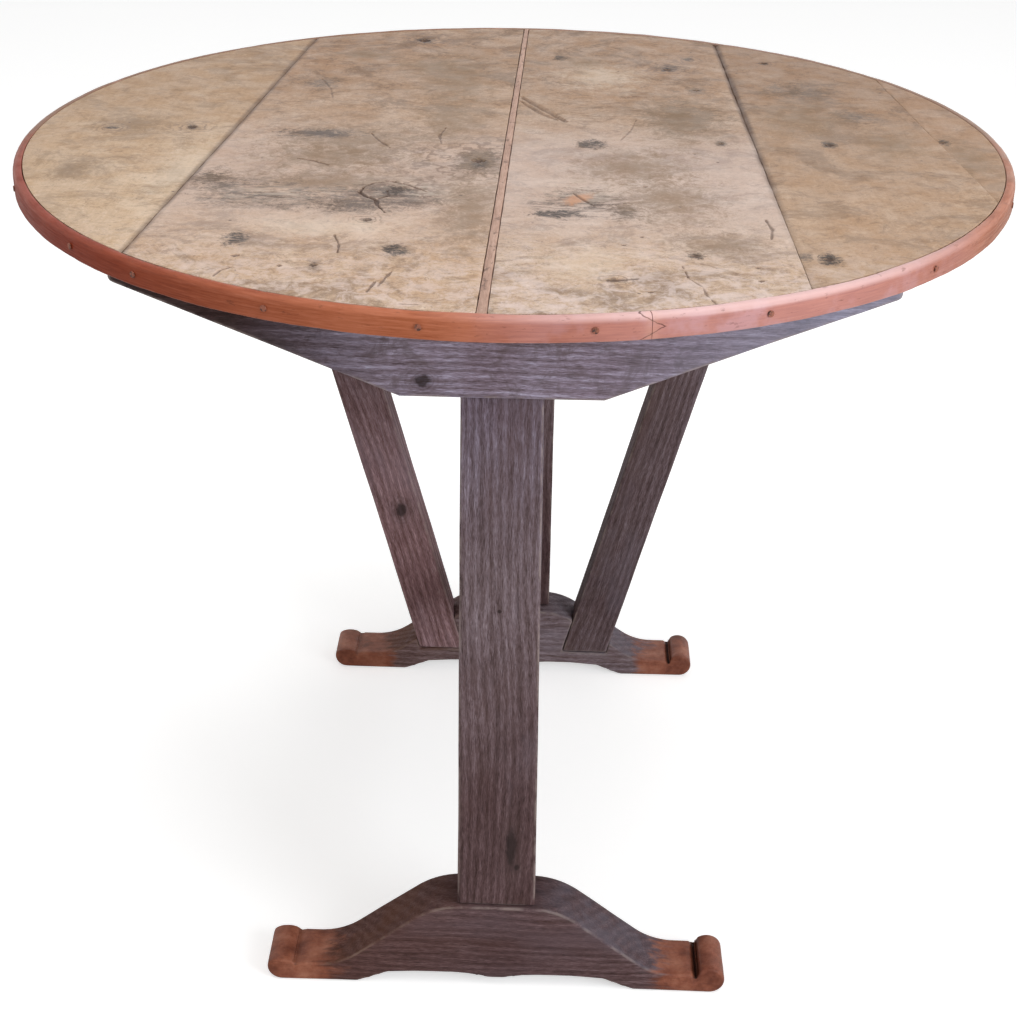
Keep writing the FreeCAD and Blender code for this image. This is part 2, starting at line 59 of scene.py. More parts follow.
BAND_LOW, BAND_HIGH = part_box("edge_band_left")
TOP_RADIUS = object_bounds()[1][0]
BAND_THICK = 0.0085
BAND_INNER = TOP_RADIUS - BAND_THICK
BAND_MIDDLE = (BAND_LOW.z + BAND_HIGH.z) / 2
BAND_ROUND = 0.0052     # radius of the band's roundest corner
BAND_STEPS = 260
BOARDS = ("board_1", "board_2", "board_3", "board_4", "board_5")
BOARD_EDGE = 0.0007     # width of the worn edges
STRIP_EDGE = 0.0008
MERGE_REACH = 0.00001
BOARD_STEP = 0.003      # spacing of the cuts that let a face be worn unevenly
OAK_STEP = 0.012


# --- camera, light and floor ---


CAMERA_AT = (0.0389, -1.5391, 1.1707)
CAMERA_ANGLES = (-1.469, 27.713, -0.822)    # turn, tilt down and roll, in degrees
CAMERA_LENS = 63.26
FLOOR_SIZE, FLOOR_LEVEL = 12, -0.0005


def place_camera():
    """The camera stands a little right of the front post and looks down at the top."""
    turn, tilt, roll = (math.radians(angle) for angle in CAMERA_ANGLES)
    ahead = Vector((math.sin(turn) * math.cos(tilt), math.cos(turn) * math.cos(tilt),
                    -math.sin(tilt)))
    level = Vector((math.cos(turn), -math.sin(turn), 0))
    down = ahead.cross(level)
    right = level * math.cos(roll) + down * math.sin(roll)
    down = down * math.cos(roll) - level * math.sin(roll)
    data = bpy.data.cameras.new("view")
    data.lens = CAMERA_LENS
    data.sensor_width = 36
    camera = bpy.data.objects.new("view", data)
    bpy.context.collection.objects.link(camera)
    matrix = Matrix((right, -down, -ahead)).transposed().to_4x4()
    matrix.translation = CAMERA_AT
    camera.matrix_world = matrix
    bpy.context.scene.camera = camera


def add_lamp(name, at, towards, size, power, colour):
    data = bpy.data.lights.new(name, "AREA")
    data.shape = "RECTANGLE"
    data.size, data.size_y = size
    data.energy = power
    data.color = colour
    lamp = bpy.data.objects.new(name, data)
    bpy.context.collection.objects.link(lamp)
    lamp.location = at
    lamp.rotation_euler = (Vector(towards) - Vector(at)).to_track_quat("-Z", "Y").to_euler()


def light_studio():
    """A cool window on the right, a soft overhead light and a warm fill on the left."""
    add_lamp("window", (2.3, -1.9, 1.5), (0.0, -0.1, 0.5), (1.5, 1.5), 52, (0.93, 0.97, 1.0))
    add_lamp("overhead", (0.2, -0.3, 3.2), (0.0, 0.1, 0.0), (3.4, 3.0), 58, (1.0, 0.99, 0.97))
    add_lamp("left_fill", (-2.4, -1.6, 0.9), (0.0, 0.0, 0.4), (1.4, 1.4), 6, (1.0, 0.9, 0.8))
    world = bpy.data.worlds.new("studio")
    bpy.context.scene.world = world
    world.use_nodes = True
    wires = Wires(world.node_tree)
    rays = wires.put("ShaderNodeLightPath")
    seen = wires.math("MAXIMUM", rays.outputs["Is Camera Ray"], rays.outputs["Is Glossy Ray"])
    back = world.node_tree.nodes["Background"]
    back.inputs["Color"].default_value = (1.0, 1.0, 1.0, 1)
    level = wires.put("ShaderNodeMapRange", {"Value": seen, "To Min": 0.38, "To Max": 1.0})
    world.node_tree.links.new(level.outputs["Result"], back.inputs["Strength"])


def lay_floor():
    """A pale floor that still takes the table's shadow."""
    bpy.ops.mesh.primitive_plane_add(size=FLOOR_SIZE, location=(0, 0, FLOOR_LEVEL))
    floor = bpy.context.object
    floor.name = "floor"
    wires = new_finish("floor_white", roughness=0.9)
    seen = wires.put("ShaderNodeLightPath").outputs["Is Camera Ray"]
    wires.feed(wires.surface, {"Base Color": (0.8, 0.8, 0.8, 1), "Emission Color": (1, 1, 1, 1),
                               "Emission Strength": wires.times(seen, 0.54)})
    floor.data.materials.append(wires.material)


# --- shader wiring ---


class Wires:
    """Adds nodes to a tree and joins them."""

    def __init__(self, tree):
        self.tree = tree

    def put(self, kind, inputs=None, **settings):
        node = self.tree.nodes.new(kind)
        for name, value in settings.items():
            setattr(node, name, value)
        self.feed(node, inputs or {})
        return node

    def feed(self, node, inputs):
        for key, value in inputs.items():
            if isinstance(value, bpy.types.NodeSocket):
                self.tree.links.new(value, node.inputs[key])
            else:
                node.inputs[key].default_value = value

    def math(self, operation, first, second=0.0, clamp=False):
        node = self.put("ShaderNodeMath", {0: first, 1: second}, operation=operation,
                        use_clamp=clamp)
        return node.outputs[0]

    def times(self, first, second, clamp=False):
        return self.math("MULTIPLY", first, second, clamp)

    def plus(self, first, second):
        return self.math("ADD", first, second)

    def minus(self, first, second):
        return self.math("SUBTRACT", first, second)

    def vectors(self, operation, first, second):
        node = self.put("ShaderNodeVectorMath", {0: first, 1: second}, operation=operation)
        return node.outputs[0]

    def length(self, vector):
        node = self.put("ShaderNodeVectorMath", {0: vector}, operation="LENGTH")
        return node.outputs["Value"]

    def wobble(self, vector, amount, *cloud):
        """Noise about zero, as strong as amount."""
        return self.times(self.minus(self.cloud(vector, *cloud), 0.5), amount)

    def blend(self, amount, first, second, kind="MIX"):
        node = self.put("ShaderNodeMix", {0: amount, 6: first, 7: second},
                        data_type="RGBA", blend_type=kind)
        return node.outputs[2]

    def stain(self, under, mask, amount, shade, kind="MIX"):
        """Lays a shade of 0 to 255 over a colour, where a mask is, as strongly as amount."""
        return self.blend(self.times(mask, amount), under, paint(*shade), kind)

    def stretch(self, vector, scale=(1, 1, 1), turn=(0, 0, 0), shift=(0, 0, 0)):
        node = self.put("ShaderNodeMapping",
                        {"Vector": vector, "Location": shift, "Rotation": turn, "Scale": scale})
        return node.outputs[0]

    def cloud(self, vector, scale, detail=3.0, rough=0.5, twist=0.0):
        node = self.put("ShaderNodeTexNoise",
                        {"Vector": vector, "Scale": scale, "Detail": detail,
                         "Roughness": rough, "Distortion": twist})
        return node.outputs[0]

    def span(self, value, low, high, to_low=0.0, to_high=1.0):
        node = self.put("ShaderNodeMapRange",
                        {"Value": value, "From Min": low, "From Max": high,
                         "To Min": to_low, "To Max": to_high}, interpolation_type="SMOOTHSTEP")
        return node.outputs[0]

    def ramp(self, value, stops):
        node = self.put("ShaderNodeValToRGB", {0: value})
        band = node.color_ramp
        while len(band.elements) < len(stops):
            band.elements.new(0.5)
        for element, (place, shade) in zip(band.elements, stops):
            element.position = place
            element.color = paint(*shade)
        return node.outputs[0]

    def dress(self, tint, height, strength, distance, **others):
        """Joins a finish's colour, bump and other values to its surface."""
        bump = self.put("ShaderNodeBump",
                        {"Strength": strength, "Distance": distance, "Height": height})
        self.feed(self.surface, {"Base Color": tint, "Normal": bump.outputs[0]} | others)
        return self.material

    def attribute(self, name):
        return self.put("ShaderNodeAttribute", attribute_name=name).outputs["Fac"]

    def places(self):
        return self.put("ShaderNodeTexCoord").outputs["Object"]

    def split(self, vector):
        return self.put("ShaderNodeSeparateXYZ", {0: vector}).outputs

    def use(self, group, **inputs):
        node = self.put("ShaderNodeGroup", node_tree=group)
        self.feed(node, {key.replace("_", " "): value for key, value in inputs.items()})
        return node.outputs


def new_group(name, vectors, numbers, outputs):
    """An empty shader group with its sockets; numbers gives each one's usual value."""
    group = bpy.data.node_groups.new(name, "ShaderNodeTree")
    for label in vectors:
        group.interface.new_socket(label, in_out="INPUT", socket_type="NodeSocketVector")
    for label, value in numbers.items():
        socket = group.interface.new_socket(label, in_out="INPUT", socket_type="NodeSocketFloat")
        socket.default_value = value
    for label in outputs:
        group.interface.new_socket(label, in_out="OUTPUT", socket_type="NodeSocketFloat")
    wires = Wires(group)
    entry = wires.put("NodeGroupInput").outputs
    leave = wires.put("NodeGroupOutput")
    return group, wires, entry, leave


def new_finish(name, roughness, specular=0.5):
    """The wires of a new material, which carry it and its surface shader with them."""
    material = bpy.data.materials.new(name)
    material.use_nodes = True
    wires = Wires(material.node_tree)
    wires.material = material
    wires.surface = material.node_tree.nodes["Principled BSDF"]
    wires.feed(wires.surface, {"Roughness": roughness, "Specular IOR Level": specular})
    return wires


def paint(red, green, blue):
    """A shade on the 0 to 255 scale, as the linear colour that nodes take."""
    parts = [part / 255 for part in (red, green, blue)]
    return (*(part / 12.92 if part <= 0.04045 else ((part + 0.055) / 1.055) ** 2.4
              for part in parts), 1)


# --- shared shader groups ---


def make_grain_group():
    """Open-pored timber, its grain along the vector's Z: a tone, dark pores and a height."""
    group, wires, entry, leave = new_group(
        "timber grain", ["Vector"], {"Fine": 620.0, "Figure": 0.5}, ["Tone", "Pores", "Height"])
    vector = entry["Vector"]
    sway = wires.wobble(wires.stretch(vector, (1, 1, 0.35)), 0.022, 9, 2)
    offset = wires.put("ShaderNodeCombineXYZ", {0: sway, 1: sway}).outputs[0]
    swayed = wires.vectors("ADD", vector, offset)
    fine = entry["Fine"]
    fleck = wires.cloud(wires.stretch(swayed, (1, 1, 0.11)), fine, 3, 0.7)
    fibre = wires.cloud(wires.stretch(swayed, (1, 1, 0.05)), wires.times(fine, 0.55), 3, 0.6)
    streak = wires.cloud(wires.stretch(swayed, (1, 1, 0.09)), wires.times(fine, 0.12), 4, 0.6)
    rings = wires.put("ShaderNodeTexWave",
                      {"Vector": wires.stretch(swayed, (1, 1, 0.12), shift=(0.05, 0.09, 0)),
                       "Scale": 46.0, "Distortion": 4.0, "Detail": 3.0, "Detail Scale": 1.5,
                       "Detail Roughness": 0.6},
                      wave_type="RINGS", rings_direction="Z").outputs["Fac"]
    tone = wires.plus(wires.times(fleck, 0.52), wires.times(fibre, 0.24))
    tone = wires.plus(tone, wires.times(streak, 0.24))
    figured = wires.times(wires.minus(rings, 0.5), wires.times(entry["Figure"], 0.13))
    tone = wires.plus(tone, figured)
    pores = wires.cloud(wires.stretch(swayed, (1, 1, 0.08), shift=(2, 0, 0)),
                        wires.times(fine, 1.1), 2, 0.5)
    pores = wires.span(pores, 0.57, 0.68)
    height = wires.minus(tone, wires.times(pores, 0.3))
    wires.feed(leave, {"Tone": tone, "Pores": pores, "Height": height})
    return group


def make_spot_group():
    """A ragged oval on the XY plane, 1 in its middle and 0 outside."""
    group, wires, entry, leave = new_group(
        "ragged spot", ["Vector", "Centre"],
        {"Long": 0.02, "Wide": 0.01, "Turn": 0.0, "Ragged": 0.6, "Soft": 0.7}, ["Mask"])
    vector = entry["Vector"]
    turned = wires.put("ShaderNodeVectorRotate",
                       {"Vector": vector, "Center": entry["Centre"], "Angle": entry["Turn"]},
                       rotation_type="Z_AXIS").outputs[0]
    away = wires.split(wires.vectors("SUBTRACT", turned, entry["Centre"]))
    across = wires.math("DIVIDE", away[0], entry["Long"])
    deep = wires.math("DIVIDE", away[1], entry["Wide"])
    reach = wires.length(wires.put("ShaderNodeCombineXYZ", {0: across, 1: deep}).outputs[0])
    tatter = wires.plus(wires.wobble(vector, 5.0, 70, 5, 0.75, 1.0),
                        wires.wobble(vector, 3.2, 420, 4, 0.75, 0.5))
    reach = wires.plus(reach, wires.times(tatter, entry["Ragged"]))
    wires.feed(leave, {"Mask": wires.span(reach, 1.0, wires.minus(1.0, entry["Soft"]))})
    return group


def make_pit_group():
    """Worm holes and flecks: small dark dots, thinned out at random."""
    group, wires, entry, leave = new_group(
        "worm pits", ["Vector"], {"Scale": 70.0, "Size": 0.1, "Share": 0.2}, ["Mask"])
    cells = wires.put("ShaderNodeTexVoronoi", {"Vector": entry["Vector"], "Scale": entry["Scale"]})
    chosen = wires.math("LESS_THAN", wires.split(cells.outputs["Color"])[0], entry["Share"])
    dot = wires.math("LESS_THAN", cells.outputs["Distance"], entry["Size"])
    wires.feed(leave, {"Mask": wires.times(chosen, dot)})
    return group


# --- finishes ---


def oak_finish(name, turn, shift, scrolled, knots, dark, painted_end_shade_and_light, low_tone):
    """Grey-brown oak with raised grain; turn brings its grain onto Z, low_tone is for its foot."""
    wires = new_finish(name, roughness=0.72, specular=0.2)
    here = wires.places()
    x, _, z = wires.split(here)
    wood = wires.stretch(here, turn=turn, shift=shift)
    grain = wires.use(GRAIN, Vector=wood, Fine=1250.0, Figure=0.7)
    tint = wires.ramp(grain["Tone"], [
        (0.34, (76, 60, 60)), (0.44, (106, 89, 91)), (0.52, (124, 107, 112)),
        (0.6, (146, 131, 138)), (0.7, (176, 164, 172))])
    tint = wires.stain(tint, grain["Pores"], 0.5, (62, 47, 46))
    blotch = wires.span(wires.cloud(here, 7, 5, 0.6, 0.6), 0.4, 0.66)
    tint = wires.stain(tint, blotch, 0.45, (198, 176, 172), "MULTIPLY")
    warm = wires.span(wires.cloud(wires.stretch(wood, (1, 1, 0.3), shift=(1, 4, 2)), 16, 4, 0.6),
                      0.48, 0.7)
    tint = wires.stain(tint, warm, 0.4, (104, 78, 72))
    grey = wires.span(wires.cloud(wires.stretch(wood, (1, 1, 0.25)), 22, 4, 0.6), 0.5, 0.72)
    tint = wires.stain(tint, grey, 0.34, (138, 132, 146))
    # Darker towards the bottom by low_tone; a low tone above 255, as on the left leg, is painted
    # light that pales the lower part.
    tint = wires.stain(tint, wires.span(z, 0.56, 0.08), 0.75, low_tone, "MULTIPLY")
    # Painted light: the upper parts are tinted cool blue, as the window light falls on them.
    high = wires.span(z, 0.42, 0.62, 0.0, 0.8)
    tint = wires.blend(high, tint, paint(248, 258, 282), "MULTIPLY")
    if dark:
        tint = wires.blend(dark, tint, paint(150, 124, 122), "MULTIPLY")
    # Painted light on the front batten: the left end is darkened as painted shade under the top,
    # and the right end is tinted blue-grey as painted window light.
    if painted_end_shade_and_light:
        tint = wires.blend(1.0, tint, (1.54, 1.62, 1.62, 1), "MULTIPLY")
        mottle = wires.span(wires.cloud(here, 30, 6, 0.75, 0.8), 0.48, 0.62)
        tint = wires.stain(tint, mottle, 0.55, (96, 82, 84))
        left, right = wires.span(x, -0.05, -0.22), wires.span(x, 0.04, 0.26)
        tint = wires.stain(tint, left, painted_end_shade_and_light, (92, 58, 42), "MULTIPLY")
        tint = wires.stain(tint, right, 0.45, (150, 154, 176))
    for centre, size, squeeze in knots:
        tint = add_knot(wires, here, tint, centre, size, squeeze)
    rubbed = wires.times(wires.attribute("worn"),
                         wires.span(wires.cloud(here, 45, 4, 0.6), 0.36, 0.6))
    tint = wires.stain(tint, rubbed, 0.6, (158, 142, 136))
    height = grain["Height"]
    rough = wires.span(grain["Tone"], 0.35, 0.65, 0.82, 0.62)
    if scrolled:
        # Painted light on the feet: the left end is tinted warm, and the upward faces are patched
        # warm brown on the left and cool blue-grey on the right, as the warm lamp and the cool
        # window light them.
        tint = wires.blend(wires.span(x, 0.02, -0.16, 0.0, 0.55), tint,
                           paint(226, 182, 146), "MULTIPLY")
        painted_light_patches = wires.span(wires.cloud(here, 38, 5, 0.65, 0.6), 0.34, 0.62, 0.3, 1.0)
        painted_light_patches = wires.times(wires.attribute("upper"), painted_light_patches)
        for reach, shade in ((-1, (96, 58, 38)), (1, (96, 94, 106))):
            side = wires.span(x, 0.01 * reach, 0.09 * reach, 0.0, 0.62)
            tint = wires.stain(tint, painted_light_patches, side, shade)
        ends = wires.plus(wires.math("ABSOLUTE", x), wires.wobble(here, 0.06, 30, 4))
        fibres = wires.wobble(wires.stretch(here, (0.12, 1, 1)), 0.05, 210, 3, 0.6)
        ends = wires.span(wires.plus(ends, fibres), 0.14, 0.164)
        polish = wires.ramp(wires.cloud(wood, 34, 5, 0.65), [
            (0.34, (104, 52, 34)), (0.5, (142, 82, 60)), (0.68, (174, 114, 90))])
        polish = wires.stain(polish, grain["Pores"], 0.3, (70, 36, 26))
        tint = wires.blend(wires.times(ends, 0.92), tint, polish)
        height = wires.times(height, wires.minus(1.0, wires.times(ends, 0.7)))
        rough = wires.minus(rough, wires.times(ends, 0.34))
        tint = wires.blend(wires.attribute("crack"), tint, paint(44, 24, 18))
    return wires.dress(tint, height, 0.6, 0.001, Roughness=rough)


def add_knot(wires, here, tint, centre, size, squeeze):
    """A dark knot with a few rings; squeeze below 1 on an axis draws it out that way."""
    away = wires.vectors("MULTIPLY", wires.vectors("SUBTRACT", here, centre), squeeze)
    reach = wires.math("DIVIDE", wires.length(away), size)
    reach = wires.plus(reach, wires.wobble(here, 0.9, 140, 3, 0.6))
    ring = wires.math("SINE", wires.times(reach, 14.0))
    halo = wires.times(wires.span(reach, 2.4, 0.9), wires.span(ring, -0.2, 1.0, 0.25, 0.5))
    tint = wires.blend(halo, tint, paint(74, 56, 54))
    return wires.blend(wires.span(reach, 1.05, 0.45, 0.0, 0.85), tint, paint(42, 30, 29))


# clouds of tone on the boards: scale, detail, roughness, from, to, strength, shade
BOARD_CLOUDS = [
    (5, 6, 0.62, 0.44, 0.62, 0.6, (184, 148, 112)),
    (9, 7, 0.7, 0.5, 0.64, 0.62, (220, 198, 178)),
    (12, 7, 0.74, 0.49, 0.62, 0.8, (134, 108, 82)),
    (22, 7, 0.76, 0.53, 0.66, 0.45, (224, 204, 186)),
    (34, 7, 0.78, 0.53, 0.64, 0.68, (128, 100, 74)),
    (70, 5, 0.76, 0.52, 0.64, 0.42, (126, 98, 74)),
    (85, 5, 0.76, 0.53, 0.66, 0.36, (230, 210, 190)),
    (160, 4, 0.75, 0.52, 0.64, 0.3, (126, 98, 76)),
    (210, 4, 0.75, 0.53, 0.65, 0.24, (226, 206, 188)),
    (330, 3, 0.7, 0.52, 0.62, 0.2, (122, 96, 76)),
]


def board_finish(name, shift, tone, figure, marks):
    """Bleached, waxed planks with grey smudges, with a painted sheen at the front and painted shade
    towards the back.
    """
    wires = new_finish(name, roughness=0.5, specular=0.42)
    here = wires.places()
    y = wires.split(here)[1]
    lengthwise = wires.stretch(here, turn=(math.pi / 2, 0, 0), shift=shift)
    grain = wires.use(GRAIN, Vector=lengthwise, Fine=640.0, Figure=0.5)
    tint = wires.ramp(grain["Tone"], [
        (0.3, (184, 155, 128)), (0.46, (192, 164, 137)),
        (0.54, (196, 168, 142)), (0.7, (203, 176, 152))])
    drift = wires.stretch(here, shift=shift)
    for index, (scale, detail, rough, low, high, amount, shade) in enumerate(BOARD_CLOUDS):
        moved = wires.stretch(drift, (1, 1.2, 1), shift=(index * 2.3, index * 1.1, 0))
        mask = wires.span(wires.cloud(moved, scale, detail, rough, 1.1), low, high)
        tint = wires.stain(tint, mask, amount * figure, shade)
    sprinkle = wires.cloud(wires.stretch(drift, (1, 1.8, 1), shift=(3, 8, 0)), 190, 3, 0.62, 1.6)
    flecks = wires.minus(sprinkle, wires.span(y, 0.1, -0.36, 0.675, 0.64))
    flecks = wires.span(flecks, 0.0, 0.02)
    tint = wires.stain(tint, flecks, 0.62, (92, 68, 54))
    # Painted sheen: the front of the top is lightened in cloudy patches, as the light falls on it
    # there.
    front = wires.span(y, -0.2, -0.41)
    sheen_patches = wires.span(wires.cloud(drift, 60, 6, 0.75, 0.6), 0.42, 0.62)
    tint = wires.stain(tint, wires.times(front, sheen_patches), 0.6, (226, 208, 202))
    # Painted shade: the top grows darker towards the back, away from the light.
    tint = wires.stain(tint, wires.span(y, -0.34, 0.3), 0.85, (206, 194, 184), "MULTIPLY")
    if figure == 1.0:
        hazy = wires.times(wires.span(y, -0.34, -0.18), wires.span(y, 0.09, -0.06))
        tint = wires.stain(tint, hazy, 0.42, (204, 186, 180))
    tint = wires.blend(0.85, tint, paint(*tone), "MULTIPLY")
    for mark in marks:
        tint = add_mark(wires, here, tint, *mark)
    pits = wires.use(PITS, Vector=wires.stretch(here, (1, 1, 0)), Scale=52.0, Size=0.07,
                     Share=0.14)["Mask"]
    tint = wires.stain(tint, pits, 0.75, (84, 60, 48))
    tint = wires.stain(tint, wires.attribute("crack"), 0.85, (66, 40, 26))
    rough = wires.span(wires.cloud(here, 40, 4), 0.35, 0.7, 0.42, 0.62)
    height = wires.plus(wires.times(grain["Height"], 0.25),
                        wires.times(wires.cloud(here, 110, 5, 0.65), 0.7))
    height = wires.minus(height, wires.times(pits, 0.8))
    return wires.dress(tint, height, 0.65, 0.001, Roughness=rough)


# each kind of mark: colour, strength, raggedness, softness
MARK_LOOKS = {
    "smudge": ((88, 68, 52), 0.88, 0.42, 0.95),
    "shade": ((122, 96, 70), 0.76, 0.42, 1.0),
    "ink": ((50, 36, 28), 0.97, 0.42, 0.6),
    "knot": ((48, 30, 20), 0.88, 0.38, 0.7),
    "worn": ((190, 134, 96), 0.75, 0.3, 0.7),
    "pale": ((224, 206, 186), 0.35, 0.45, 1.0),
    "streak": ((78, 60, 50), 0.95, 0.4, 0.9),
    "bright": ((216, 198, 182), 0.4, 0.4, 0.9),
}


def add_mark(wires, here, tint, kind, at_x, at_y, long, wide, turn=0):
    """One mark on a board; lengths in millimetres, turn in degrees."""
    look, amount, ragged, soft = MARK_LOOKS[kind]
    centre = (at_x / 1000, at_y / 1000, 0)
    long, wide = long / 1000, wide / 1000
    mask = wires.use(SPOT, Vector=here, Centre=centre, Long=long, Wide=wide,
                     Turn=math.radians(turn), Ragged=ragged, Soft=soft)["Mask"]
    if kind in ("ink", "smudge", "knot"):
        broken = wires.cloud(wires.stretch(here, (0.5, 1, 1)), 260, 4, 0.75, 0.8)
        mask = wires.times(mask, wires.span(broken, 0.36, 0.6, 0.35, 1.25))
    if kind in ("streak", "bright"):
        shift = (0, 0, 0) if kind == "streak" else (0, 3, 0)
        flow = wires.cloud(wires.stretch(here, (0.22, 1, 1), shift=shift), 150, 4, 0.7, 0.9)
        mask = wires.times(mask, wires.span(flow, 0.43, 0.57))
    if kind == "knot":
        tint = add_swirl(wires, here, tint, centre, max(long, wide))
    return wires.blend(wires.times(mask, amount, clamp=True), tint, paint(*look))


def add_swirl(wires, here, tint, centre, size):
    """Fine growth lines that bend round a knot."""
    away = wires.vectors("SUBTRACT", wires.stretch(here, (1, 1, 0)), centre)
    reach = wires.math("DIVIDE", wires.length(away), size)
    bent = wires.plus(reach, wires.times(wires.cloud(here, 55, 3, 0.6), 2.6))
    lines = wires.span(wires.math("SINE", wires.times(bent, 9.0)), 0.2, 0.9)
    near = wires.span(reach, 2.6, 0.8)
    mask = wires.times(wires.times(lines, near), 0.6)
    return wires.blend(mask, tint, paint(104, 80, 66))


def strip_finish():
    """The narrow let-in strip, paler than the boards and chipped."""
    wires = new_finish("pale_strip", roughness=0.5, specular=0.4)
    here = wires.places()
    grain = wires.use(GRAIN, Vector=wires.stretch(here, turn=(math.pi / 2, 0, 0)),
                      Fine=700.0, Figure=0.2)
    tint = wires.ramp(grain["Tone"], [
        (0.3, (136, 100, 84)), (0.5, (172, 137, 119)), (0.7, (198, 166, 149))])
    worn = wires.span(wires.cloud(wires.stretch(here, (1, 0.3, 1)), 40, 4, 0.7), 0.52, 0.72)
    tint = wires.stain(tint, worn, 0.6, (122, 88, 74))
    chips = wires.span(wires.cloud(wires.stretch(here, (1, 0.5, 1)), 130, 4, 0.7), 0.58, 0.66)
    tint = wires.stain(tint, chips, 0.7, (84, 58, 46))
    return wires.dress(tint, grain["Height"], 0.35, 0.0006)


def band_finish():
    """Brick-coloured stain, rubbed bare at the back; darker on the left, partly with age and partly
    as painted shade; painted sheen and highlight towards the right.
    """
    wires = new_finish("brick_stained_band", roughness=0.4, specular=0.12)
    wires.feed(wires.surface, {"Coat Roughness": 0.25})
    here = wires.places()
    x, y, z = wires.split(here)
    fibre = wires.cloud(wires.stretch(here, (0.5, 0.5, 9)), 70, 5, 0.65, 0.3)
    tint = wires.ramp(fibre, [
        (0.3, (144, 74, 44)), (0.5, (171, 96, 64)), (0.7, (190, 116, 86))])
    cloudy = wires.span(wires.cloud(here, 14, 5, 0.6, 0.5), 0.42, 0.66)
    tint = wires.stain(tint, cloudy, 0.45, (188, 112, 80))
    # Darker and more orange on the left, partly age and partly painted shade where less light
    # falls.
    left = wires.span(x, -0.04, -0.36)
    tint = wires.stain(tint, left, 0.95, (188, 108, 42), "MULTIPLY")
    pale = wires.span(wires.cloud(here, 24, 4, 0.6), 0.46, 0.62)
    pale = wires.plus(wires.times(pale, 0.5), 0.5)
    # Painted sheen: pale pinkish patches towards the right, where the light falls.
    lit = wires.times(wires.span(x, -0.06, 0.12), wires.span(x, 0.4, 0.24))
    tint = wires.stain(tint, wires.times(pale, lit), 0.75, (200, 154, 158))
    # Painted highlight along the band's top edge towards the right.
    crown_highlight = wires.span(z, BAND_HIGH.z - 0.006, BAND_HIGH.z - 0.001)
    crown_highlight = wires.times(wires.times(crown_highlight, lit), 0.6)
    tint = wires.blend(crown_highlight, tint, paint(234, 204, 204))
    far = wires.span(x, 0.22, 0.4, 0.0, 0.8)
    tint = wires.blend(far, tint, paint(228, 238, 240), "MULTIPLY")
    arms = wires.math("ABSOLUTE", wires.minus(z, BAND_MIDDLE))
    scarf = wires.plus(wires.minus(x, 0.114), wires.times(arms, 1.9))
    scarf = wires.plus(scarf, wires.wobble(here, 0.004, 260, 3))
    scarf = wires.span(wires.math("ABSOLUTE", scarf), 0.0011, 0.0003)
    scarf = wires.times(scarf, wires.math("LESS_THAN", y, 0.0))
    tint = wires.stain(tint, scarf, 0.85, (70, 34, 28))
    bare = wires.plus(y, wires.wobble(here, 0.3, 18, 4))
    bare = wires.span(bare, -0.1, 0.05)
    tint = wires.stain(tint, bare, 0.85, (128, 102, 84))
    worn = wires.span(wires.cloud(wires.stretch(here, (1, 1, 3)), 95, 4, 0.7), 0.6, 0.72)
    tint = wires.stain(tint, worn, 0.45, (92, 50, 36))
    arris = wires.span(wires.put("ShaderNodeNewGeometry").outputs["Pointiness"], 0.51, 0.56)
    tint = wires.stain(tint, arris, 0.25, (220, 170, 150))
    rough = wires.span(fibre, 0.3, 0.7, 0.5, 0.32)
    wires.feed(wires.surface, {"Coat Weight": wires.span(x, 0.0, 0.12, 0.04, 0.25)})
    return wires.dress(tint, fibre, 0.35, 0.0006, Roughness=rough)


def speckled_finish(name, roughness, scale, stops, strength, distance, metallic=0.0):
    """Small iron or end grain, in two tones of fine specks."""
    wires = new_finish(name, roughness)
    wires.feed(wires.surface, {"Metallic": metallic})
    speck = wires.cloud(wires.places(), scale, 4, 0.7)
    return wires.dress(wires.ramp(speck, stops), speck, strength, distance)


# --- modelling ---


def only(piece):
    bpy.ops.object.select_all(action="DESELECT")
    piece.select_set(True)
    bpy.context.view_layer.objects.active = piece


def open_up(piece):
    """Takes a piece into edit mode, all of it selected."""
    only(piece)
    bpy.ops.object.mode_set(mode="EDIT")
    bpy.ops.mesh.select_all(action="SELECT")


def close_up():
    bpy.ops.object.mode_set(mode="OBJECT")


def sawn_copy(node, name):
    """A copy of a frame node, its triangles merged into flat faces."""
    piece = bpy.data.objects.new(name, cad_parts[node].data.copy())
    bpy.context.collection.objects.link(piece)
    piece.data.materials.clear()
    open_up(piece)
    bpy.ops.mesh.remove_doubles(threshold=MERGE_REACH)
    bpy.ops.mesh.dissolve_limited(angle_limit=math.radians(1))
    close_up()
    return piece


def apply_all(piece):
    only(piece)
    for modifier in list(piece.modifiers):
        bpy.ops.object.modifier_apply(modifier=modifier.name)


def ease_edges(piece, width, steps=3):
    bevel = piece.modifiers.new("worn edges", "BEVEL")
    bevel.width = width
    bevel.segments = steps
    bevel.limit_method = "ANGLE"
    bevel.angle_limit = math.radians(28)
    bevel.use_clamp_overlap = False
    apply_all(piece)


def slice_up(piece, axis, places):
    """Cuts a piece's faces on planes across one axis, so that they can be worn unevenly."""
    open_up(piece)
    bpy.context.tool_settings.mesh_select_mode = (True, False, False)
    normal = Vector([float(index == axis) for index in range(3)])
    for place in places:
        bpy.ops.mesh.select_all(action="SELECT")
        bpy.ops.mesh.bisect(plane_co=normal * place, plane_no=normal)
    close_up()


def even_places(low, high, step):
    return np.arange(low + step / 2, high, step).tolist()


def soften(piece):
    only(piece)
    bpy.ops.object.shade_smooth_by_angle(angle=math.radians(38))


def read_triples(items, what):
    values = np.empty(len(items) * 3)
    items.foreach_get(what, values)
    return values.reshape(-1, 3)


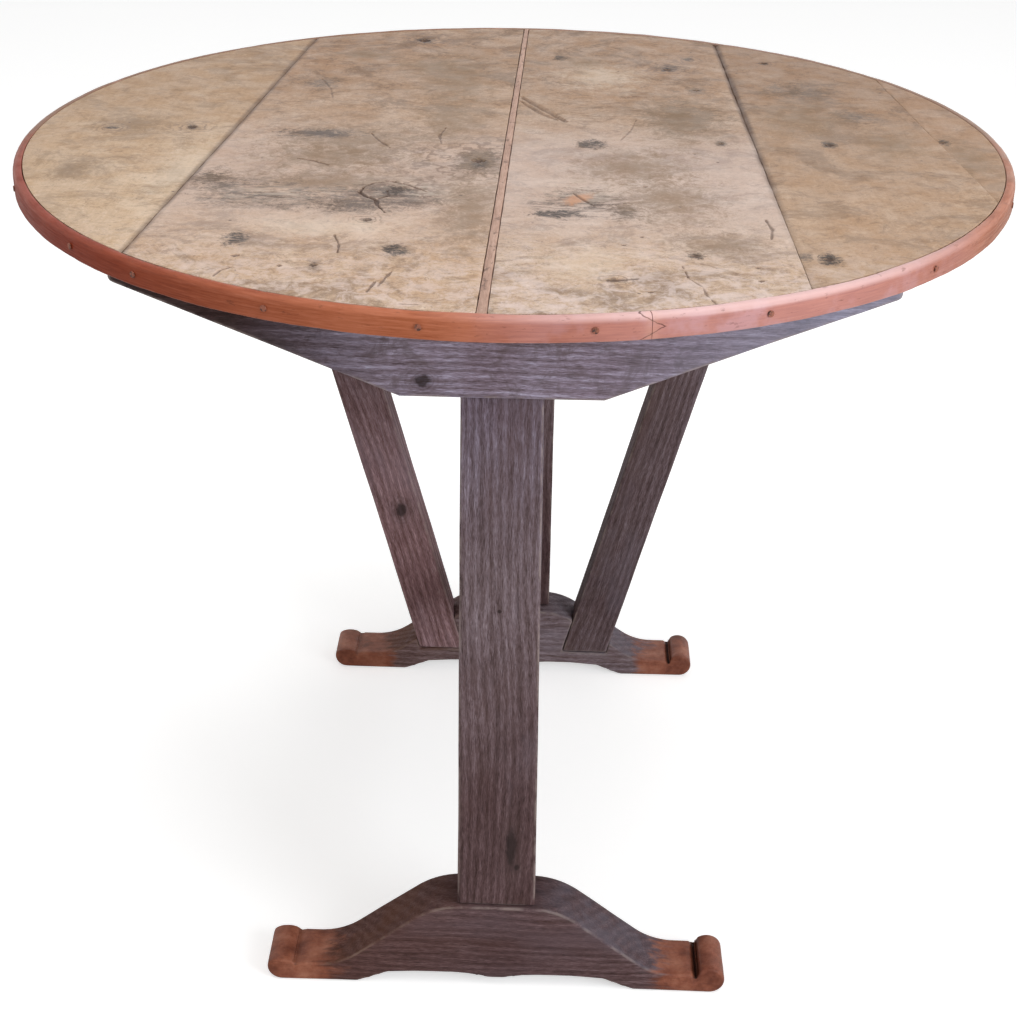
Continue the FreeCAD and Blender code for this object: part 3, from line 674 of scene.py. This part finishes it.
def skin(piece):
    """Places and normals of a piece's vertices as arrays."""
    vertices = piece.data.vertices
    return read_triples(vertices, "co"), read_triples(vertices, "normal")


def node_places(node):
    return read_triples(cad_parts[node].data.vertices, "co")


def low_and_high(piece):
    """The two far corners of a piece's box."""
    return np.array([corner[:] for corner in piece.bound_box])[[0, 6]]


def settle(piece, places):
    piece.data.vertices.foreach_set("co", places.ravel())
    piece.data.update()


def ripple(places, scale, seed):
    """Smooth noise about zero at each place, stretched by scale."""
    shifted = places * np.array(scale) + seed
    return np.array([noise.noise(Vector(place)) for place in shifted])


def weather(piece, along, amount, seed):
    """Slow hollows along the grain, as on hand-planed timber that has dried."""
    places, normals = skin(piece)
    wave, dent = np.full(3, 15.0), np.full(3, 38.0)
    wave[along], dent[along] = 6.0, 20.0
    sink = amount * (ripple(places, wave, seed + 9) + 0.4 + 0.5 * ripple(places, dent, seed))
    settle(piece, places - normals * np.maximum(sink, 0)[:, None])


# --- cracks, cuts and gouges pressed into a fine mesh ---


def line_reach(places, line):
    """How far each place lies from a line of points on the XY plane, and how far along it."""
    best = np.full(len(places), 9.0)
    share = np.zeros(len(places))
    points = np.array(line)
    for index in range(len(points) - 1):
        start, end = points[index], points[index + 1]
        run = end - start
        part = np.clip(((places[:, :2] - start) @ run) / (run @ run), 0, 1)
        gap = np.hypot(*(places[:, :2] - start - part[:, None] * run).T)
        nearer = gap < best
        best[nearer] = gap[nearer]
        share[nearer] = ((index + part) / (len(points) - 1))[nearer]
    return best, share


def refine_near(piece, lines, reach, cuts):
    """Divides the upward faces near some lines, so that they can take a fine mark."""
    mesh = piece.data
    centres = read_triples(mesh.polygons, "center")
    upward = read_triples(mesh.polygons, "normal")[:, 2] > 0.5
    near = np.zeros(len(centres), bool)
    for line in lines:
        near |= line_reach(centres, line)[0] < reach
    near &= upward
    if not near.any():
        return
    only(piece)
    bpy.context.tool_settings.mesh_select_mode = (False, False, True)
    mesh.polygons.foreach_set("select", near)
    mesh.vertices.foreach_set("select", np.zeros(len(mesh.vertices), bool))
    mesh.edges.foreach_set("select", np.zeros(len(mesh.edges), bool))
    bpy.ops.object.mode_set(mode="EDIT")
    bpy.ops.mesh.subdivide(number_cuts=cuts)
    close_up()


def press_lines(piece, cuts):
    """Presses cracks into the upper face; each cut is (points, width, depth, darkness)."""
    cuts = [cut for cut in cuts if near_piece(piece, cut[0])]
    if not cuts:
        return
    for reach, steps in ((0.007, 2), (0.0035, 1)):
        refine_near(piece, [cut[0] for cut in cuts], reach, steps)
    places, normals = skin(piece)
    dark = read_dirt(piece)
    upward = normals[:, 2] > 0.3
    for points, width, depth, darkness in cuts:
        wander = 0.0011 * ripple(places, (130, 130, 0), 3.0)
        gap, share = line_reach(places, points)
        gap = np.abs(gap + wander)
        taper = np.sin(np.pi * np.clip(share, 0.04, 0.96)) ** 0.5
        body = np.clip(1 - gap / (width * (0.35 + 0.65 * taper)), 0, 1) * upward
        places[:, 2] -= depth * body ** 0.8
        dark = np.maximum(dark, darkness * np.clip(body * 1.6, 0, 1))
    settle(piece, places)
    write_values(piece, "crack", dark)


def read_dirt(piece):
    """How dirty each vertex is, 0 to 1."""
    values = np.zeros(len(piece.data.vertices))
    piece.data.attributes["crack"].data.foreach_get("value", values)
    return values


def write_values(piece, name, values):
    if name not in piece.data.attributes:
        piece.data.attributes.new(name, "FLOAT", "POINT")
    piece.data.attributes[name].data.foreach_set("value", values)


def near_piece(piece, line):
    low, high = low_and_high(piece)
    inside = (line > low[:2] - 0.003) & (line < high[:2] + 0.003)
    return bool(inside.all(axis=1).any())


# --- the boarded top ---

# cracks and gouges: points (x, y), width and depth in millimetres, and darkness
CRACKS = [
    (((-117, -150), (-119, -162), (-113, -173), (-104, -181), (-102, -193), (-94, -212)), 1.9, 2,
     1.0),
    (((-117, -150), (-110, -137), (-96, -133), (-81, -142), (-66, -158)), 1.5, 1.2, 0.85),
    (((-104, -181), (-95, -170), (-97, -158)), 1.3, 1, 0.75),
    (((3, 139), (23, 100), (45, 56)), 4.2, 2.4, 0.5),
    (((3, 122), (21, 84), (37, 61)), 3.2, 1.8, 0.45),
    (((-180, -75), (-167, -81), (-153, -92)), 1.9, 1.2, 0.75),
    (((-62, 28), (-66, 2), (-63, -21)), 1.3, 1, 0.65),
    (((-127, -266), (-121, -287), (-120, -305)), 1.3, 1.2, 0.85),
    (((-201, -361), (-198, -349), (-191, -341)), 1.8, 1.3, 0.75),
    (((130, -318), (133, -343), (142, -360), (144, -376), (150, -394)), 1, 1.1, 0.65),
    (((76, -352), (84, -349), (96, -346)), 3.2, 1.8, 1.0),
    (((160, -391), (190, -378), (219, -359)), 2.1, 1.8, 0.89),
    (((200, -209), (203, -232), (200, -256)), 1.8, 1.3, 0.75),
    (((96, 141), (108, 149), (121, 147)), 1.8, 1, 0.56),
    (((109, 68), (103, 32), (93, -1)), 1.3, 0.8, 0.47),
    (((-126, 4), (-118, -16), (-106, -38)), 1.8, 1.1, 0.65),
    (((-91, -384), (-87, -364)), 1.3, 1.2, 0.75),
    (((-84, -372), (-81, -357), (-77, -342)), 1.3, 1.2, 0.75),
    (((-66, -405), (-54, -406)), 1.4, 1.2, 0.75),
    (((-193, 190), (-180, 154), (-174, 118)), 1.4, 0.8, 0.43),
    (((52, -155), (58, -168), (68, -186)), 1.9, 1.3, 0.65),
]

# round pits: x, y and size in millimetres
PITS_PRESSED = [
    (-286, 12, 5), (-193, -317, 4), (-134, -333, 4), (-158, -335, 3), (-106, -230, 4),
    (103, -257, 2), (89, -276, 2.2), (110, -133, 2), (141, -296, 4), (275, -2, 5), (376, 14, 4),
    (238, -297, 5), (184, -318, 3), (184, -345, 3), (245, 287, 4), (170, 177, 4), (181, -4, 3),
    (146, 255, 5), (-105, 358, 7), (-28, -71, 7), (105, -372, 2),
]

# marks of each board: kind, x, y, long and wide in millimetres, and degrees if turned
BOARD_MARKS = {
    "board_1": [
        ("shade", -340, 20, 50, 50, 20), ("knot", -286, 12, 8, 12),
        ("pale", -270, -100, 30, 120, 5), ("shade", -360, -120, 30, 50), ("knot", -356, 5, 9, 6)],
    "board_2": [
        ("smudge", -235, -145, 30, 55, -20), ("smudge", -179, 0, 32, 24),
        ("shade", -150, -70, 100, 60), ("smudge", -195, -185, 60, 30, -6),
        ("smudge", -125, -195, 60, 30), ("smudge", -85, -165, 55, 40, 8),
        ("shade", -140, -20, 100, 90), ("shade", -150, -140, 120, 50),
        ("streak", -200, -165, 70, 40, -8), ("streak", -100, -175, 80, 45),
        ("bright", -190, -175, 60, 30, -8), ("bright", -80, -155, 70, 40, 5),
        ("knot", -92, -158, 22, 16, 20), ("shade", -60, 200, 60, 140), ("knot", -28, -71, 25, 46),
        ("shade", -28, -71, 26, 55), ("ink", -27, -80, 9, 18), ("ink", -165, 2, 22, 11),
        ("streak", -170, 0, 60, 24), ("smudge", -245, -135, 24, 26), ("ink", -198, -280, 12, 20),
        ("ink", -79, -296, 13, 16, -30), ("smudge", -134, -333, 8, 16),
        ("knot", -105, 358, 15, 20), ("shade", -160, 290, 50, 30), ("shade", -90, 250, 50, 50),
        ("smudge", -190, 171, 22, 30, 20), ("shade", -60, 50, 50, 120),
        ("shade", -30, -200, 35, 140), ("knot", -106, -230, 6, 8), ("pale", -140, -250, 80, 30)],
    "board_3": [
        ("ink", 39, 294, 10, 14), ("shade", 62, 276, 40, 30), ("knot", 146, 258, 16, 18, 15),
        ("knot", 169, 299, 8, 12), ("smudge", 170, 177, 16, 18), ("smudge", 150, 75, 50, 80),
        ("ink", 69, -15, 16, 18), ("ink", 181, -4, 7, 10), ("smudge", 60, -165, 40, 35),
        ("streak", 60, -190, 60, 45), ("bright", 60, -150, 50, 50), ("shade", 150, 60, 60, 120),
        ("shade", 100, -80, 70, 80), ("worn", 56, -168, 11, 22, 35), ("ink", 40, -208, 26, 12),
        ("smudge", 92, -200, 20, 30), ("shade", 130, -170, 60, 90), ("ink", 141, -296, 8, 10),
        ("knot", 80, -351, 9, 5), ("shade", 160, -270, 50, 40), ("pale", 80, 220, 60, 70),
        ("pale", 60, -320, 50, 50)],
    "board_4": [
        ("smudge", 270, 180, 50, 50, -20), ("smudge", 308, 95, 30, 30), ("ink", 275, -2, 9, 14),
        ("ink", 238, -297, 12, 16), ("smudge", 222, -294, 8, 12), ("knot", 245, 287, 7, 7),
        ("shade", 330, 0, 40, 60), ("shade", 260, 80, 60, 100)],
    "board_5": [
        ("ink", 378, 14, 7, 12), ("shade", 390, -30, 30, 80)],
}

# each board: the colour it is multiplied by, and how strong its clouds are
BOARD_TONES = {
    "board_1": ((255, 253, 245), 0.65), "board_2": ((244, 238, 234), 1.0),
    "board_3": ((245, 243, 245), 1.0), "board_4": ((220, 209, 198), 0.75),
    "board_5": ((226, 214, 204), 0.6)}


def seam_line(left, right):
    """The middle of the seam between two neighbouring boards, as (x, y) at its two ends."""
    first, other = node_places(left), node_places(right)
    ends = []
    for sign in (-1, 1):
        edge = first[np.argmax(first[:, 0] + sign * 0.5 * first[:, 1])]
        over = other[np.argmin(other[:, 0] - sign * 0.5 * other[:, 1])]
        ends.append(((edge[0] + over[0]) / 2, (edge[1] + over[1]) / 2))
    return ends


def make_board(node, seed):
    """One board: worn faces below and above, uneven gaps, cracks and pits."""
    low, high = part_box(node)
    piece = sawn_copy(node, node + "_aged")
    ease_edges(piece, BOARD_EDGE, 2)
    slice_up(piece, 0, even_places(low.x, high.x, BOARD_STEP))
    slice_up(piece, 1, even_places(low.y, high.y, BOARD_STEP))
    places, normals = skin(piece)
    above = np.clip((normals[:, 2] - 0.2) / 0.5, 0, 1)
    below = np.clip((-normals[:, 2] - 0.2) / 0.5, 0, 1)
    swell = 0.0005 * ripple(places, (9, 3, 1), seed) + 0.0003 * ripple(places, (45, 30, 1), seed)
    places[:, 2] += above * np.minimum(swell - 0.0006, 0)
    places[:, 2] += below * (0.0008 * ripple(places, (60, 8, 1), seed + 4) + 0.0004)
    radius = np.hypot(places[:, 0], places[:, 1])
    side = (np.abs(normals[:, 0]) > 0.5) & (radius < BAND_INNER - 0.004)
    creep = 0.0002 + 0.0003 * ripple(places, (3, 60, 3), seed + 2)
    places[:, 0] += np.where(side, np.sign(normals[:, 0]) * creep, 0)
    settle(piece, places)
    ease_seams(piece)
    bowls = [(((x - size / 3, y), (x + size / 3, y)), size, size * 0.4, 0.85)
             for x, y, size in PITS_PRESSED]
    press_lines(piece, [(np.array(points) / 1000, width / 1000, depth / 1000, dark)
                        for points, width, depth, dark in CRACKS + bowls])
    soften(piece)
    piece.data.materials.append(board_finish(
        node + "_wood", (seed * 1.7, seed * 0.9, seed * 0.37), *BOARD_TONES[node],
        BOARD_MARKS[node]))
    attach(piece, "top")
    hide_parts(node)


# each seam: its line, width and depth of wear, how much of that at the front and back, and dirt
SEAMS = {
    "one": (seam_line("board_1", "board_2"), 0.0045, 0.0008, (1.0, 1.0), 0.7),
    "three": (seam_line("board_3", "board_4"), 0.005, 0.0019, (0.1, 1.0), 0.85),
}


def ease_seams(piece):
    """Rubs the boards down beside their seams; the third opens into a groove at the back."""
    low, high = low_and_high(piece)
    write_values(piece, "crack", np.zeros(len(piece.data.vertices)))
    for line, width, depth, (front, back), dirt in SEAMS.values():
        middle = (line[0][0] + line[1][0]) / 2
        if not low[0] - 0.05 < middle < high[0] + 0.05:
            continue
        refine_near(piece, [line], 0.006, 2)
        places, normals = skin(piece)
        gap, share = line_reach(places, line)
        strength = front + (back - front) * np.clip(share * 2.2 - 0.25, 0, 1)
        strength = strength * (1 + 0.8 * ripple(places, (25, 25, 0), 7.0))
        fall = np.clip(1 - gap / width, 0, 1)
        above = np.clip((normals[:, 2] - 0.1) / 0.4, 0, 1)
        places[:, 2] -= depth * strength * fall ** 1.5 * above
        settle(piece, places)
        write_values(piece, "crack", np.maximum(read_dirt(piece),
                                                dirt * np.clip(strength * fall * 1.5, 0, 1)))


def make_strip():
    low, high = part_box("filler_strip")
    piece = sawn_copy("filler_strip", "filler_strip_aged")
    ease_edges(piece, STRIP_EDGE, 2)
    slice_up(piece, 1, even_places(low.y, high.y, BOARD_STEP))
    places, normals = skin(piece)
    dip = 0.0005 * ripple(places, (60, 16, 1), 5.0) - 0.0003
    places[:, 2] += np.where(normals[:, 2] > 0.5, np.minimum(dip, 0), 0)
    side = np.abs(normals[:, 0]) > 0.5
    creep = 0.0003 * ripple(places, (3, 45, 3), 8.0) - 0.0001
    places[:, 0] += np.where(side, np.sign(normals[:, 0]) * creep, 0)
    settle(piece, places)
    soften(piece)
    piece.data.materials.append(strip_finish())
    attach(piece, "top")
    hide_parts("filler_strip")


# --- the bent band ---


# how round each corner of the band's section is, by (outer, upper)
BAND_CORNERS = {(True, True): 1.0, (True, False): 0.35, (False, True): 0.3, (False, False): 0.1}


def make_band(node, start, sweep):
    """Half of the band, spun round the top from a rounded section."""
    middle = (BAND_INNER + TOP_RADIUS) / 2
    bpy.ops.mesh.primitive_plane_add(size=1, location=(0, 0, 0))
    piece = bpy.context.object
    piece.name = node + "_bent"
    open_up(piece)
    bpy.ops.transform.resize(value=(TOP_RADIUS - BAND_INNER, BAND_HIGH.z - BAND_LOW.z, 1))
    bpy.ops.transform.rotate(value=math.pi / 2, orient_axis="X", center_override=(0, 0, 0))
    bpy.ops.transform.translate(value=(middle, 0, BAND_MIDDLE))
    close_up()
    section = piece.data
    weights = section.attributes.new("bevel_weight_vert", "FLOAT", "POINT")
    for index, vertex in enumerate(section.vertices):
        corner = vertex.co.x > middle, vertex.co.z > BAND_MIDDLE
        weights.data[index].value = BAND_CORNERS[corner]
    rounding = piece.modifiers.new("rounded", "BEVEL")
    rounding.affect = "VERTICES"
    rounding.width = BAND_ROUND
    rounding.segments = 5
    rounding.limit_method = "WEIGHT"
    apply_all(piece)
    open_up(piece)
    bpy.ops.transform.rotate(value=-start, orient_axis="Z", center_override=(0, 0, 0))
    bpy.ops.mesh.spin(steps=BAND_STEPS, angle=sweep, center=(0, 0, 0), axis=(0, 0, -1), dupli=False)
    bpy.ops.mesh.select_all(action="SELECT")
    bpy.ops.mesh.remove_doubles(threshold=MERGE_REACH)
    bpy.ops.mesh.normals_make_consistent(inside=False)
    close_up()
    return piece


def join_angle(side_node, sign):
    """Where a half of the band ends, as an angle round the top, at the front or the back."""
    places = node_places(side_node)
    ends = places[np.sign(places[:, 1]) == sign]
    pick = ends[np.argmax(ends[:, 0])] if "left" in side_node else ends[np.argmin(ends[:, 0])]
    return math.atan2(pick[1], pick[0])


def make_bands():
    finish = band_finish()
    front = (join_angle("edge_band_right", -1) + join_angle("edge_band_left", -1)) / 2
    back = (join_angle("edge_band_right", 1) + join_angle("edge_band_left", 1)) / 2
    right = make_band("edge_band_right", front, back - front)
    left = make_band("edge_band_left", back, 2 * math.pi + front - back)
    for piece, node in ((left, "edge_band_left"), (right, "edge_band_right")):
        places, normals = skin(piece)
        lift = 0.00045 * ripple(places, (26, 26, 30), 6.0) + 0.00018 * ripple(
            places, (120, 120, 160), 2.0)
        settle(piece, places + normals * (lift - 0.0003)[:, None])
        soften(piece)
        piece.data.materials.append(finish)
        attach(piece, "top")
        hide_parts(node)


# --- the oak frame ---

# each piece: its body, the axis of its grain, the width of its eased edges, depth of its hollows
OAK = {
    "front_batten": ("top", 0, 0.0032, 0.0006), "rear_batten": ("top", 0, 0.0028, 0.0006),
    "front_post": ("base", 2, 0.0022, 0.0005), "rear_post": ("base", 2, 0.0024, 0.0006),
    "front_foot": ("base", 0, 0.0026, 0.0006), "rear_foot": ("base", 0, 0.0026, 0.0006),
    "v_leg_left": ("base", 2, 0.0024, 0.0006), "v_leg_right": ("base", 2, 0.0024, 0.0006),
    "cross_rail": ("base", 0, 0.0024, 0.0006), "lower_rail": ("base", 1, 0.0028, 0.0006),
    "upper_rail": ("base", 1, 0.0028, 0.0006),
}
LEG_WIDE = 0.0517       # across a splayed leg, on the level
SCROLL_WIDE = 0.0267    # from a foot's end to the line behind its scroll
AXLE_SHOULDER = 0.212   # the rear batten is turned thinner beyond this
AXLE_EASE = 0.965       # how much thinner the axle ends are
ROLL_STEP = 0.0012      # spacing of the cuts across a scroll's line
LOW_TONE = (174, 136, 126)
# dark knots on the front faces: (x, z), size, and how they are drawn out
KNOTS = {
    "front_batten": (((-0.062, 0.614), 0.007, (0.8, 1, 1)),),
    "front_post": (((0.013, 0.158), 0.006, (1, 1, 0.22)),
                   ((0.018, 0.137), 0.003, (1, 1, 0.8)),
                   ((0.0, 0.405), 0.0022, (1, 1, 1))),
    "v_leg_left": (((-0.13, 0.215), 0.008, (1, 1, 0.7)),),
}
# how strongly the pieces in shade are darkened
SHADED = {"v_leg_left": 0.6, "v_leg_right": 0.5, "rear_post": 0.3, "front_post": 0.15}
# tones that the lower parts are multiplied by; above 255 they grow paler, which on the left leg is
# painted light on the lower part, below the shade of the top
LOW_TONES = {"v_leg_left": (405, 382, 375), "v_leg_right": (255, 255, 255),
             "rear_foot": (255, 255, 255)}
# turns that bring grain along X, Y or Z onto Z
GRAIN_TURNS = {0: (0, math.pi / 2, 0), 1: (math.pi / 2, 0, 0), 2: (0, 0, 0)}


def leg_lean(node):
    """The lean of a splayed leg from upright, in radians."""
    low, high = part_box(node)
    lean = math.atan((high.x - low.x - LEG_WIDE) / (high.z - low.z))
    return lean if "right" in node else -lean


def make_oak(node, body, along, edge, amount, seed):
    """One piece of the frame or a batten: eased, weathered, its worn edges marked for rubbing."""
    low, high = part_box(node)
    piece = sawn_copy(node, node + "_aged")
    ease_edges(piece, edge)
    for axis in range(3):
        if node.startswith("v_leg") and axis == 0:
            continue
        slice_up(piece, axis, even_places(low[axis], high[axis], OAK_STEP))
    if "foot" in node:
        roll_inner = high.x - SCROLL_WIDE
        steps = [roll_inner + step * ROLL_STEP for step in range(-4, 5)]
        steps += even_places(0.004, 0.045, 0.004) + even_places(0.098, 0.13, 0.004)
        slice_up(piece, 0, steps + [-step for step in steps])
    weather(piece, along, amount, seed)
    if "foot" in node:
        bend_relief(piece)
        cut_scrolls(piece, roll_inner)
    if node == "rear_batten":
        thin_axle(piece)
    places, normals = skin(piece)
    flat = normals[:, 2 if along == 1 else 1] ** 2
    write_values(piece, "worn", np.clip(5 * flat * (1 - flat), 0, 1))
    write_values(piece, "upper", np.clip(normals[:, 2], 0, 1))
    soften(piece)
    turn = GRAIN_TURNS[along]
    if node.startswith("v_leg"):
        turn = (0, -leg_lean(node), 0)
    knots = [((x, low.y, z), size, squeeze) for (x, z), size, squeeze in KNOTS.get(node, ())]
    piece.data.materials.append(oak_finish(
        node + "_oak", turn, (seed * 0.31, seed * 0.17, seed * 0.05),
        scrolled="foot" in node, knots=knots, dark=SHADED.get(node, 0.0),
        painted_end_shade_and_light=0.95 if node == "front_batten" else 0.0,
        low_tone=LOW_TONES.get(node, LOW_TONE)))
    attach(piece, body)
    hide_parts(node)


def thin_axle(piece):
    """Turns the axle ends a hair thinner, so that they clear their bores as the top turns."""
    places = skin(piece)[0]
    ends = np.abs(places[:, 0]) > AXLE_SHOULDER
    axis = (places[ends].min(axis=0) + places[ends].max(axis=0)) / 2
    places[ends, 1:] = axis[1:] + (places[ends, 1:] - axis[1:]) * AXLE_EASE
    settle(piece, places)


def bend_relief(piece):
    """Turns the sawn relief under a foot into one shallow curve with a drop in the middle."""
    places = skin(piece)[0]
    away = np.abs(places[:, 0])
    sawn = np.interp(away, (0, 0.011, 0.017, 0.108, 0.118, 0.128),
                     (0.009, 0.009, 0.015, 0.015, 0.012, 0))
    curve = np.interp(away, (0, 0.007, 0.016, 0.026, 0.04, 0.07, 0.1, 0.118, 0.128),
                      (0.0085, 0.0088, 0.0104, 0.0122, 0.0132, 0.0132, 0.0112, 0.0062, 0))
    share = np.clip(1 - (places[:, 2] - sawn) / 0.02, 0, 1)
    places[:, 2] += (curve - sawn) * share
    settle(piece, places)


def cut_scrolls(piece, at):
    """Deepens the line where each scroll meets the neck of its foot."""
    places, normals = skin(piece)
    gap = np.abs(np.abs(places[:, 0]) - at)
    above = np.clip((normals[:, 2] - 0.1) / 0.3, 0, 1) * (places[:, 2] > 0.012)
    fall = np.clip(1 - gap / 0.0042, 0, 1) * above
    left = places[:, 0] < 0
    places[:, 2] -= np.where(left, 0.0012, 0.0045) * fall
    worn_down = left & (np.abs(places[:, 0]) > at - 0.004) & (places[:, 2] > 0.018)
    places[:, 2] -= np.where(worn_down, 0.45 * (places[:, 2] - 0.018), 0)
    settle(piece, places)
    write_values(piece, "crack", np.clip(fall * 1.3 - 0.2, 0, 1) * np.where(left, 0.3, 1.0))


def finish_small_parts():
    """Nails and pegs; the stain of the band covers its nail heads and is worn through in spots."""
    iron = speckled_finish("dark_iron", 0.6, 500, [(0.35, (48, 38, 34)), (0.6, (92, 62, 48))],
                           0.4, 0.0003, metallic=0.6)
    stained = speckled_finish("stained_nails", 0.55, 240,
                              [(0.4, (52, 32, 26)), (0.54, (150, 88, 66))], 0.4, 0.0003)
    peg = speckled_finish("peg_ends", 0.75, 420, [(0.3, (58, 42, 36)), (0.7, (112, 90, 80))],
                          0.5, 0.0005)
    for node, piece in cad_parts.items():
        if "nails" in node or "pegs" in node:
            finish = stained if node == "band_nails" else iron if "nails" in node else peg
            piece.data.materials.clear()
            piece.data.materials.append(finish)


GRAIN = make_grain_group()
SPOT = make_spot_group()
PITS = make_pit_group()

place_camera()
light_studio()
lay_floor()
for seed, node in enumerate(BOARDS, start=1):
    make_board(node, float(seed))
make_strip()
make_bands()
for seed, (node, (body, along, edge, amount)) in enumerate(OAK.items(), start=1):
    make_oak(node, body, along, edge, amount, float(seed))
finish_small_parts()

bpy.context.scene.view_settings.view_transform = "Standard"
